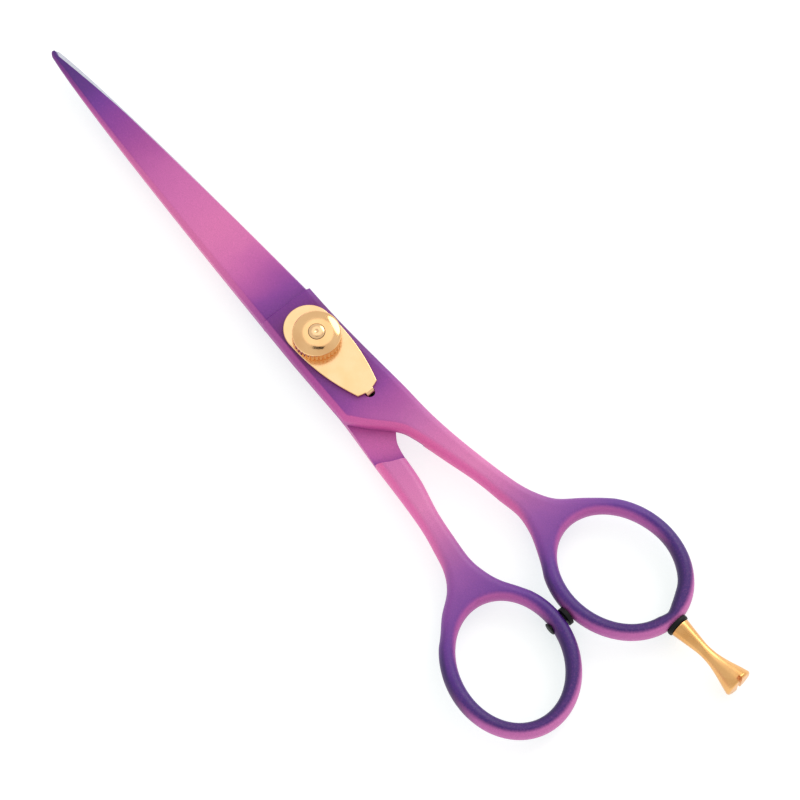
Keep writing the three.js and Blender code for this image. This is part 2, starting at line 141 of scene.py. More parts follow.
def grid_faces(rows: int, columns: int, wrap: bool = False) -> Array:
    """Quads over a grid of vertices numbered row by row.

    Args:
        rows: vertex rows.
        columns: vertices in each row.
        wrap: join the last column to the first.

    Returns:
        One row of four vertex numbers for each quad.
    """
    r, c = np.meshgrid(np.arange(rows - 1), np.arange(columns if wrap else columns - 1),
                       indexing="ij")
    nxt = (c + 1) % columns
    quads = [r * columns + c, r * columns + nxt, (r + 1) * columns + nxt, (r + 1) * columns + c]
    return np.stack(quads, axis=-1).reshape(-1, 4)


def weld(points: Array, quads: Array, step: float = 2e-4) -> tuple[Array, list[list[int]]]:
    """Merge points that coincide, and drop the corners and faces that this empties.

    Args:
        points: all vertices, in millimetres.
        quads: quads over them.
        step: two points closer than this are one.

    Returns:
        The vertices left and the faces as lists of three or four numbers.
    """
    keys = np.round(points / step).astype(np.int64)
    _, first, label = np.unique(keys, axis=0, return_index=True, return_inverse=True)
    label = label.reshape(-1)
    faces = label[quads]
    same = faces == np.roll(faces, -1, axis=1)
    kept = same.sum(axis=1)
    whole = faces[kept == 0]
    split = (whole[:, 0] == whole[:, 2]) | (whole[:, 1] == whole[:, 3])
    whole = whole[~split]
    part = faces[kept == 1]
    triangles = part[~same[kept == 1]].reshape(-1, 3)
    flat = (triangles[:, 0] == triangles[:, 1]) | (triangles[:, 1] == triangles[:, 2])
    flat |= triangles[:, 0] == triangles[:, 2]
    return points[first], whole.tolist() + triangles[~flat].tolist()


def read_rows(items: bpy.types.bpy_prop_collection, key: str, width: int = 3,
              kind: type = float) -> Array:
    """One property of a mesh's vertices, corners or faces.

    Args:
        items: the vertices, corners or faces.
        key: the property's name.
        width: numbers in each item's value.
        kind: type of the numbers.

    Returns:
        One row for each item.
    """
    values = np.empty(len(items) * width, dtype=kind)
    items.foreach_get(key, values)
    return values.reshape(-1, width)


def signed_volume(mesh: bpy.types.Mesh) -> float:
    """Volume inside a closed mesh, negative where its faces point inwards.

    It is the sum over triangles of a . (b x c) / 6.

    Args:
        mesh: the mesh to measure.

    Returns:
        The signed volume in cubic metres.
    """
    mesh.calc_loop_triangles()
    corners = read_rows(mesh.loop_triangles, "vertices", 3, np.int32)
    a, b, c = read_rows(mesh.vertices, "co")[corners].transpose(1, 0, 2)
    return float(np.einsum("ij,ij->", a, np.cross(b, c)) / 6.0)


def link_mesh(name: str, points: Array, faces: Sequence[Sequence[int]]) -> bpy.types.Object:
    """Mesh object from millimetre points, linked to the scene.

    Args:
        name: the object's name.
        points: vertices in millimetres.
        faces: lists of vertex numbers.

    Returns:
        The new object.
    """
    mesh = bpy.data.meshes.new(name)
    mesh.from_pydata((points * MM).tolist(), [], faces)
    obj = bpy.data.objects.new(name, mesh)
    bpy.context.scene.collection.objects.link(obj)
    return obj


def make_mesh(name: str, points: Array, faces: list[list[int]]) -> bpy.types.Object:
    """Closed mesh object with its faces turned outwards.

    Args:
        name: the object's name.
        points: vertices in millimetres.
        faces: lists of vertex numbers.

    Returns:
        The new object.
    """
    obj = link_mesh(name, points, faces)
    obj.data.validate(clean_customdata=False)
    obj.data.update()
    if signed_volume(obj.data) < 0.0:
        obj.data.flip_normals()
    return obj


def shade(obj: bpy.types.Object, angle: float) -> bpy.types.Object:
    """Smooth shading that breaks at edges sharper than an angle.

    Args:
        obj: the piece.
        angle: the angle, in degrees.

    Returns:
        The piece.
    """
    obj.data.polygons.foreach_set("use_smooth", [True] * len(obj.data.polygons))
    obj.data.set_sharp_from_angle(angle=math.radians(angle))
    obj.data.update()
    return obj


def turned_points(profile: Array, sides: int, bite: Array | float = 0.0) -> tuple[Array, Array]:
    """Surface of revolution about Z: each [radius, height] swept round a full turn.

    Args:
        profile: radii and heights along the section.
        sides: steps round the axis.
        bite: how much the radius loses, by section point and step.

    Returns:
        The vertices and the quads over them.
    """
    angle = np.linspace(0.0, TAU, sides, endpoint=False)
    radius, height = profile[:, :1] - bite, profile[:, 1:]
    points = np.stack(np.broadcast_arrays(radius * np.cos(angle), radius * np.sin(angle), height),
                      axis=-1)
    return points.reshape(-1, 3), grid_faces(len(profile), sides, wrap=True)


def rounded(profile: Sequence[Sequence[float]], radius: float, steps: int = 5) -> Array:
    """Open profile with each inner corner replaced by a small parabola.

    The curve at a corner blends the two legs: (1 - t)^2 a + 2t(1 - t) corner + t^2 b.

    Args:
        profile: corner points.
        radius: how far each round reaches along its legs.
        steps: pieces in each round.

    Returns:
        The rounded profile.
    """
    p = np.asarray(profile, float)
    out = [p[0]]
    t = np.linspace(0.0, 1.0, steps + 1)[:, None]
    for before, corner, after in zip(p[:-2], p[1:-1], p[2:]):
        leg_in, leg_out = before - corner, after - corner
        reach_in = min(radius, 0.45 * np.linalg.norm(leg_in))
        reach_out = min(radius, 0.45 * np.linalg.norm(leg_out))
        a = corner + leg_in / np.linalg.norm(leg_in) * reach_in
        b = corner + leg_out / np.linalg.norm(leg_out) * reach_out
        out.extend((1 - t) ** 2 * a + 2 * t * (1 - t) * corner + t**2 * b)
    out.append(p[-1])
    return np.array(out)


@dataclass(frozen=True)
class Spot:
    """Where a turned shape goes: its origin and, if it lies down, its axis in the plane."""

    x: float = 0.0
    y: float = 0.0
    z: float = 0.0
    turn: float | None = None

    def lay(self, points: Array) -> Array:
        """Move a shape made about Z to the spot.

        Lying down, its own +Z points along (cos turn, sin turn, 0) and its own +Y points up.

        Args:
            points: vertices about the Z axis.

        Returns:
            The placed vertices.
        """
        if self.turn is not None:
            ahead = np.array([math.cos(self.turn), math.sin(self.turn), 0.0])
            side = np.array([-math.sin(self.turn), math.cos(self.turn), 0.0])
            points = (points[:, 2:] * ahead - points[:, :1] * side
                      + points[:, 1:2] * np.array([0.0, 0.0, 1.0]))
        return points + np.array([self.x, self.y, self.z])


UPRIGHT = Spot()


def cut(obj: bpy.types.Object, tools: Iterable[bpy.types.Object]) -> None:
    """Subtract closed tools from a piece and remove them.

    Args:
        obj: the piece to cut.
        tools: closed meshes.
    """
    for tool in tools:
        modifier = obj.modifiers.new("cut", "BOOLEAN")
        modifier.operation = "DIFFERENCE"
        modifier.solver = "EXACT"
        modifier.object = tool
        graph = bpy.context.evaluated_depsgraph_get()
        mesh = bpy.data.meshes.new_from_object(obj.evaluated_get(graph))
        obj.modifiers.clear()
        old = obj.data
        obj.data = mesh
        mesh.name = obj.name
        bpy.data.meshes.remove(old)
        bpy.data.objects.remove(tool, do_unlink=True)


def turned(name: str, profile: Sequence[Sequence[float]] | Array, spot: Spot = UPRIGHT,
           sides: int = 64) -> bpy.types.Object:
    """Closed turned piece.

    Args:
        name: the object's name.
        profile: [radius, height] points that run from axis to axis or end where they start.
        spot: where it goes.
        sides: steps round the axis.

    Returns:
        The new object.
    """
    points, quads = turned_points(np.asarray(profile, float), sides)
    return make_mesh(name, *weld(spot.lay(points), quads))


def bar_tool(radius: float, low: float, high: float, spot: Spot = UPRIGHT) -> bpy.types.Object:
    """Plain round cutter.

    Args:
        radius: its radius.
        low: where it starts along its axis.
        high: where it ends.
        spot: where its origin and axis go.

    Returns:
        The cutter.
    """
    return turned("cutter", [[0.0, low], [radius, low], [radius, high], [0.0, high]], spot)


# ------------------------------------------------------------------ finishes


def linear(code: str) -> tuple[float, float, float, float]:
    """Linear colour of an sRGB hex code.

    Args:
        code: six hex digits after a hash sign.

    Returns:
        Linear red, green and blue, and an alpha of 1.
    """
    channels = [int(code[k:k + 2], 16) / 255.0 for k in (1, 3, 5)]
    lin = [c / 12.92 if c <= 0.04045 else ((c + 0.055) / 1.055) ** 2.4 for c in channels]
    return (*lin, 1.0)


def feed(node: bpy.types.Node, inputs: dict) -> None:
    """Give a node's sockets their values and links.

    Args:
        node: the node.
        inputs: socket name or number to a value, or to an output socket to link from.
    """
    for key, value in inputs.items():
        if isinstance(value, bpy.types.NodeSocket):
            node.id_data.links.new(value, node.inputs[key])
        else:
            node.inputs[key].default_value = value


def add_node(tree: bpy.types.NodeTree, kind: str, settings: dict | None = None,
             inputs: dict | None = None) -> bpy.types.Node:
    """Add one shader node with its settings, values and links.

    Args:
        tree: the material's node tree.
        kind: the node's type name.
        settings: properties to set on the node.
        inputs: socket name or number to a value, or to an output socket to link from.

    Returns:
        The new node.
    """
    node = tree.nodes.new(kind)
    for key, value in (settings or {}).items():
        setattr(node, key, value)
    feed(node, inputs or {})
    return node


def new_material(name: str) -> tuple[bpy.types.Material, bpy.types.NodeTree, bpy.types.Node]:
    """Empty node material with its shader joined to the output.

    Args:
        name: the material's name.

    Returns:
        The material, its node tree and its Principled shader.
    """
    material = bpy.data.materials.new(name)
    material.use_nodes = True
    tree = material.node_tree
    tree.nodes.clear()
    shader = add_node(tree, "ShaderNodeBsdfPrincipled")
    add_node(tree, "ShaderNodeOutputMaterial", inputs={"Surface": shader.outputs["BSDF"]})
    return material, tree, shader


def set_ramp(node: bpy.types.Node, stops: Iterable[tuple[float, str]]) -> bpy.types.NodeSocket:
    """Fill a colour ramp.

    Args:
        node: the ramp node.
        stops: position and hex colour, in rising order.

    Returns:
        The ramp's colour output.
    """
    stops = list(stops)
    elements = node.color_ramp.elements
    while len(elements) < len(stops):
        elements.new(0.5)
    for element, (position, code) in zip(elements, stops):
        element.position = position
        element.color = linear(code)
    return node.outputs["Color"]


NOISE_MIDDLE = {"From Min": 0.3, "From Max": 0.7}


@dataclass(frozen=True)
class SprayedSteel:
    """Airbrushed pearl lacquer on forged steel: satin, with a fine speckle.

    Pink lacquer all over, with violet fogged on from above: the eye sees soft fades along the
    length and pink left in the places that the spray didn't reach. Each stop of a fade is a
    place along X and a colour.
    """

    name: str = "airbrushed_pearl_lacquer"
    reach: tuple[float, float] = (-86.0, 80.0)
    pink: Sequence[tuple[float, str]] = (
        (-86.0, "#CE71AF"), (-76.0, "#BF63AA"), (-66.0, "#AD539F"), (-56.0, "#B959A3"),
        (-48.0, "#D967A9"), (-38.0, "#E86CAF"), (-26.0, "#E669AA"), (-14.0, "#CE5BA5"),
        (-8.0, "#B54B9D"), (0.0, "#A94896"), (8.0, "#AD4F9C"), (13.0, "#B856A1"),
        (20.0, "#D066A6"), (27.0, "#DE70A9"), (45.0, "#DC6FA9"), (54.0, "#D66CA8"),
        (62.0, "#C45CA2"), (69.0, "#B04C9A"), (74.0, "#8E3A8E"), (79.0, "#6A2A80"))
    violet: Sequence[tuple[float, str]] = (
        (-86.0, "#48196E"), (-79.0, "#3C1268"), (-71.0, "#3F1570"), (-65.0, "#4C1C7C"),
        (-60.0, "#66308E"), (-56.0, "#7F3E96"), (-52.0, "#934C9E"), (-48.0, "#A85AA0"),
        (-43.0, "#C76BA8"), (-37.0, "#D97AAF"), (-30.0, "#D170AA"), (-24.0, "#BF64A5"),
        (-18.0, "#A84B9A"), (-14.0, "#8D3893"), (-10.0, "#772B86"), (-4.0, "#6C2077"),
        (5.0, "#681771"), (9.0, "#732787"), (12.0, "#853492"), (15.0, "#9C4197"),
        (19.5, "#BA56A0"), (24.0, "#D069A7"), (30.0, "#D56EA8"), (40.0, "#C964A5"),
        (46.0, "#BC599F"), (52.0, "#A44494"), (58.0, "#893390"), (64.0, "#6D288C"),
        (69.0, "#581D7D"), (74.0, "#4A1672"), (80.0, "#47136F"))
    # Painted shade: colours mixed into the lacquer where the recess ahead of the step and the ring's
    # lee side lie in shade.
    shade: Sequence[tuple[float, str]] = (
        (-60.0, "#2A0E52"), (-40.0, "#7A1878"), (-30.0, "#7C1E90"))
    drift: float = 6.0
    drift_wave: float = 8.3333
    speckle_wave: float = 0.35
    glint_wave: float = 0.35 / 2.2
    speckle: float = 0.12
    glint: float = 0.12
    roughness: tuple[float, float] = (0.38, 0.52)
    relief: float = 0.12
    relief_height: float = 0.03
    ior: float = 1.46

    def build(self) -> bpy.types.Material:
        """Return the lacquer: fades along X, mixed by how much spray a face caught and by painted
        shade.
        """
        material, tree, shader = new_material(self.name)
        spot = add_node(tree, "ShaderNodeTexCoord").outputs["Object"]
        patterns = ((self.drift_wave, 2.0, 0.5), (self.speckle_wave, 3.0, 0.7),
                    (self.glint_wave, 2.0, 0.5))
        drift, mist, fine = (
            add_node(tree, "ShaderNodeTexNoise", inputs={
                "Vector": spot, "Scale": 1.0 / (wave * MM), "Detail": detail, "Roughness": decay,
            }).outputs["Fac"] for wave, detail, decay in patterns)
        split = add_node(tree, "ShaderNodeSeparateXYZ", inputs={0: spot})
        shifted = add_node(tree, "ShaderNodeMath", {"operation": "MULTIPLY_ADD"},
                           {0: drift, 1: self.drift * MM, 2: split.outputs["X"]})
        start, stop = self.reach
        along = add_node(tree, "ShaderNodeMapRange", inputs={
            "Value": shifted.outputs[0], "From Min": (start + self.drift / 2) * MM,
            "From Max": (stop + self.drift / 2) * MM})
        colour, *over = (
            set_ramp(add_node(tree, "ShaderNodeValToRGB", inputs={"Fac": along.outputs[0]}),
                     (((x - start) / (stop - start), code) for x, code in stops))
            for stops in (self.pink, self.violet, self.shade))
        caught, under = (add_node(tree, "ShaderNodeAttribute", {"attribute_name": name})
                         for name in ("spray", "shadow"))
        grain, glint = (
            add_node(tree, "ShaderNodeMapRange", inputs={
                "Value": noise, "To Min": middle - swing, "To Max": middle + swing, **NOISE_MIDDLE,
            }).outputs[0]
            for noise, middle, swing in ((mist, 0.0, self.speckle), (fine, 1.0, self.glint)))
        amount = add_node(tree, "ShaderNodeMath", {"operation": "ADD", "use_clamp": True},
                          {0: caught.outputs["Fac"], 1: grain})
        # The second mix paints the shade in, as much as the shadow attribute says.
        for share, top in zip((amount.outputs[0], under.outputs["Fac"]), over):
            colour = add_node(tree, "ShaderNodeMix", {"data_type": "RGBA"},
                              {0: share, 6: colour, 7: top}).outputs[2]
        pearl = add_node(tree, "ShaderNodeMix", {"data_type": "RGBA", "blend_type": "MULTIPLY"},
                         {0: 1.0, 6: colour, 7: glint})
        satin = add_node(tree, "ShaderNodeMapRange", inputs={
            "Value": mist, "To Min": self.roughness[0], "To Max": self.roughness[1]})
        bump = add_node(tree, "ShaderNodeBump", inputs={
            "Strength": self.relief, "Distance": self.relief_height * MM, "Height": fine})
        feed(shader, {"Base Color": pearl.outputs[2], "Roughness": satin.outputs[0],
                      "Normal": bump.outputs[0], "IOR": self.ior})
        return material


@dataclass(frozen=True)
class Finish:
    """Finish whose tone and gloss follow a fine grain, and whose relief follows lines or it.

    The sizes of a wave of the grain and of the lines are millimetres along X, Y and Z. An `ior`
    of None keeps the shader's own, as a metal's does.
    """

    name: str
    dark: tuple[float, str]
    light: tuple[float, str]
    roughness: tuple[float, float]
    grain: tuple[float, float, float]
    detail: float = 3.0
    gloss_range: dict | None = None
    lines: tuple[float, float, float] | None = None
    relief: float = 0.0
    relief_height: float = 0.02
    metallic: float = 0.0
    ior: float | None = None
    milkiness: float = 0.0
    milk_depth: float = 0.5

    def build(self) -> bpy.types.Material:
        """Return the finish."""
        material, tree, shader = new_material(self.name)
        spot = add_node(tree, "ShaderNodeTexCoord").outputs["Object"]
        patterns = []
        for wave in filter(None, (self.grain, self.lines)):
            scale = tuple(1.0 / (size * MM) for size in wave)
            stretch = add_node(tree, "ShaderNodeMapping", inputs={"Vector": spot, "Scale": scale})
            noise = add_node(tree, "ShaderNodeTexNoise", inputs={
                "Vector": stretch.outputs[0], "Scale": 1.0, "Detail": self.detail})
            patterns.append(noise.outputs["Fac"])
        grain, lines = patterns[0], patterns[-1]
        tone = add_node(tree, "ShaderNodeValToRGB", inputs={"Fac": grain})
        gloss = add_node(tree, "ShaderNodeMapRange", inputs={
            "Value": grain, "To Min": self.roughness[0], "To Max": self.roughness[1],
            **(self.gloss_range or {})})
        feed(shader, {"Base Color": set_ramp(tone, (self.dark, self.light)),
                      "Roughness": gloss.outputs[0], "Metallic": self.metallic})
        if self.relief:
            bump = add_node(tree, "ShaderNodeBump", inputs={
                "Strength": self.relief, "Distance": self.relief_height * MM, "Height": lines})
            feed(shader, {"Normal": bump.outputs[0]})
        if self.ior is not None:
            feed(shader, {"IOR": self.ior})
        if self.milkiness:
            feed(shader, {"Subsurface Weight": self.milkiness,
                          "Subsurface Scale": self.milk_depth * MM})
        return material


@dataclass(frozen=True)
class GroundSteel(Finish):
    """Bare ground stainless steel: fine scratches across the blade, dull silver."""

    name: str = "ground_stainless"
    dark: tuple[float, str] = (0.3, "#B9BBC6")
    light: tuple[float, str] = (0.7, "#D2D4DC")
    roughness: tuple[float, float] = (0.2, 0.42)
    grain: tuple[float, float, float] = (0.12, 11.111, 11.111)
    relief: float = 0.2
    metallic: float = 1.0


@dataclass(frozen=True)
class HoleShadeFinish(Finish):
    """Painted shade for the walls of a deep drilled hole: nearly black, only a faint gleam.

    The walls stand in shade deep inside the hole, so the shader is a dark dielectric.
    """

    name: str = "painted_hole_shade"
    dark: tuple[float, str] = (0.3, "#020102")
    light: tuple[float, str] = (0.75, "#0A060B")
    roughness: tuple[float, float] = (0.45, 0.7)
    grain: tuple[float, float, float] = (0.4, 0.4, 0.4)
    ior: float = 1.4


@dataclass(frozen=True)
class GoldPlate(Finish):
    """Titanium-gold plating on polished steel: a warm mirror with faint wipe marks."""

    name: str = "gold_plating"
    dark: tuple[float, str] = (0.25, "#F0C28C")
    light: tuple[float, str] = (0.6, "#F6CC9B")
    roughness: tuple[float, float] = (0.16, 0.26)
    grain: tuple[float, float, float] = (3.8462, 3.8462, 3.8462)
    gloss_range: dict = field(default_factory=lambda: NOISE_MIDDLE)
    lines: tuple[float, float, float] = (25.0, 25.0, 0.19841)
    relief: float = 0.05
    metallic: float = 1.0


@dataclass(frozen=True)
class BuffedGoldPlate(GoldPlate):
    """The same plating buffed on a wheel: brighter, pinker and nearly without haze."""

    name: str = "buffed_gold_plating"
    dark: tuple[float, str] = (0.25, "#EDB980")
    light: tuple[float, str] = (0.6, "#F8C88F")
    roughness: tuple[float, float] = (0.1, 0.16)


@dataclass(frozen=True)
class SatinGoldPlate(GoldPlate):
    """The same plating over a turned surface: deeper gold, with fine tool lines round it."""

    name: str = "satin_gold_plating"
    dark: tuple[float, str] = (0.25, "#E0A562")
    light: tuple[float, str] = (0.6, "#EDB878")
    roughness: tuple[float, float] = (0.27, 0.36)
    lines: tuple[float, float, float] = (0.149105, 0.19841, 0.19841)
    relief: float = 0.14


@dataclass(frozen=True)
class BlackRubber(Finish):
    """Moulded black rubber: near black, soft sheen, a trace of dust."""

    name: str = "moulded_black_rubber"
    dark: tuple[float, str] = (0.3, "#010202")
    light: tuple[float, str] = (0.75, "#050808")
    roughness: tuple[float, float] = (0.42, 0.62)
    grain: tuple[float, float, float] = (1 / 3, 1 / 3, 1 / 3)
    relief: float = 0.15
    relief_height: float = 0.03
    ior: float = 1.33


@dataclass(frozen=True)
class Nylon(Finish):
    """Natural nylon: milky, waxy and slightly translucent."""

    name: str = "natural_nylon"
    dark: tuple[float, str] = (0.3, "#DEDACF")
    light: tuple[float, str] = (0.7, "#F0EEE6")
    roughness: tuple[float, float] = (0.35, 0.5)
    grain: tuple[float, float, float] = (1.4286, 1.4286, 1.4286)
    detail: float = 2.0
    ior: float = 1.53
    milkiness: float = 0.1


# ------------------------------------------------------------------ slabs with shaped faces


BLOCK = 600  # points measured at a time, which keeps the arrays small


def path_distance(spots: Array, path: Array) -> Array:
    """Distance from points in the plane to a path of straight pieces.

    The nearest point of a piece lies at the share ((p - a) . s) / (s . s) along it, kept to 0..1.

    Args:
        spots: X and Y, one row each.
        path: the path's corners.

    Returns:
        The distance from each point to the nearest piece.
    """
    start, span = path[:-1], np.diff(path, axis=0)
    length = np.maximum((span**2).sum(axis=1), 1e-12)
    blocks = []
    for block in np.array_split(spots, max(1, len(spots) // BLOCK)):
        away = block[:, None, :] - start[None]
        share = np.clip((away * span).sum(axis=2) / length, 0.0, 1.0)
        blocks.append(np.linalg.norm(away - share[..., None] * span, axis=2).min(axis=1))
    return np.concatenate(blocks)


def slant(path: Array, direction: Array) -> Array:
    """Sine of the angle between a path and the lines that leave it, kept above a third.

    Args:
        path: points along the path.
        direction: unit direction of the line at each of them.

    Returns:
        The sine at each point.
    """
    tangent = np.gradient(path, axis=0)
    tangent /= np.maximum(np.linalg.norm(tangent, axis=1, keepdims=True), 1e-9)
    sine = np.abs(tangent[:, 0] * direction[:, 1] - tangent[:, 1] * direction[:, 0])
    return np.clip(sine, 0.35, 1.0)


@dataclass(frozen=True)
class Rows:
    """Distances of a slab's grid rows from its outline and from its core line."""

    edge: tuple[float, ...] = (0.0, 0.035, 0.1, 0.2, 0.34, 0.5, 0.68, 0.84, 0.95, 1.06, 1.25)
    core: tuple[float, ...] = (1.05, 0.85, 0.66, 0.48, 0.32, 0.19, 0.1, 0.035, 0.0)
    middle: int = 6

    def grid(self, outer: Array, core: Array) -> Array:
        """Points on the lines from the outline to the core.

        Rows keep their true distance from the nearer edge, and close up where a line is short.

        Args:
            outer: outline points.
            core: the core point that each one's line runs to.

        Returns:
            X and Y by line and row.
        """
        across = core - outer
        width = np.linalg.norm(across, axis=1)
        direction = across / np.maximum(width, 1e-9)[:, None]
        from_edge = np.array(self.edge) / slant(outer, direction)[:, None]
        from_core = np.array(self.core) / slant(core, direction)[:, None]
        fit = np.minimum(1.0, 0.9 * width / (from_edge[:, -1] + from_core[:, 0]))[:, None]
        low, high = from_edge * fit, width[:, None] - from_core * fit
        share = np.linspace(0.0, 1.0, self.middle + 2)[1:-1]
        between = low[:, -1:] + (high[:, :1] - low[:, -1:]) * share
        reach = np.concatenate([low, between, high], axis=1)
        return outer[:, None, :] + reach[..., None] * direction[:, None, :]


def slab(plan: Array, upper: Array, lower: Array) -> tuple[Array, list[list[int]]]:
    """Closed solid between two faces over one grid, with a wall along its outline.

    Args:
        plan: X and Y by line and row; the lines go once round the outline.
        upper: height of the upper face at each grid point.
        lower: height of the lower face there.

    Returns:
        Vertices, and faces as lists of vertex numbers.
    """
    lines, rows = upper.shape
    top = np.concatenate([plan, upper[..., None]], axis=2).reshape(-1, 3)
    base = np.concatenate([plan, lower[..., None]], axis=2).reshape(-1, 3)
    faces = grid_faces(lines, rows)
    rim = np.arange(lines - 1) * rows
    wall = np.stack([rim, rim + rows, rim + rows + len(top), rim + len(top)], axis=1)
    quads = np.vstack([faces, faces[:, ::-1] + len(top), wall])
    return weld(np.vstack([top, base]), quads)


# ------------------------------------------------------------------ the two halves


@dataclass(frozen=True)
class Ring:
    """Oval finger ring of a half, on the -Y side with the half's inner face down.

    Its hole is an ellipse, a cos(angle) along and b sin(angle) across, turned by a tilt.
    """

    reach: float
    offset: float
    tilt: float
    corner: float = 0.0
    hole_length: float = 23.7
    hole_width: float = 19.0
    wall: float = 3.05
    thickness: float = 3.5
    peak: tuple[float, float, float] = (0.42, 177.0, 11.0)
    chord: tuple[float, float, float] = (0.24, 199.0, 11.0)
    swell: tuple[float, float, float] = (0.13, 252.0, 22.0)

    def point(self, angle: Array | float, grow: Array | float) -> Array:
        """Point on the hole's ellipse grown by a wall.

        Args:
            angle: place round the ring, 0 towards the blade, in radians.
            grow: distance outside the hole.

        Returns:
            X and Y, in the last axis.
        """
        angle = np.asarray(angle, float)
        along = np.cos(angle) * (self.hole_length / 2 + grow)
        across = np.sin(angle) * (self.hole_width / 2 + grow)
        cos_t, sin_t = math.cos(math.radians(self.tilt)), math.sin(math.radians(self.tilt))
        return np.stack([-self.reach + along * cos_t - across * sin_t,
                         -self.offset + along * sin_t + across * cos_t], axis=-1)

    def hole_point(self, angle: Array) -> Array:
        """Point on the hole's edge, which has a slight corner and a flat beside the rest.

        The corner's peak, the flat's chord and the swell after it are each a height, a place
        round the ring and a width, both in degrees.

        Args:
            angle: place round the ring, in radians.

        Returns:
            X and Y, in the last axis.
        """
        turn = np.mod(np.degrees(np.asarray(angle, float)), 360.0)
        height, place, width = self.peak
        peak = height * np.clip(1.0 - np.abs(turn - place) / width, 0.0, 1.0)
        chord, swell = (height * np.exp(-(((turn - place) / width) ** 2))
                        for height, place, width in (self.chord, self.swell))
        return self.point(angle, self.corner * (peak - chord + swell))

    def near_side(self, grow: float) -> float:
        """Y where the ring comes nearest to the centre line, at the ring's own reach.

        Args:
            grow: distance outside the hole.

        Returns:
            The Y of that point.
        """
        tilt = math.radians(self.tilt)
        angle = math.atan2((self.hole_length / 2 + grow) * math.cos(tilt),
                           (self.hole_width / 2 + grow) * math.sin(tilt))
        return float(self.point(angle, grow)[1])


FINGER_RING = Ring(reach=68.8, offset=13.65, tilt=9.0, corner=1.0)
THUMB_RING = Ring(reach=69.55, offset=12.65, tilt=18.0)


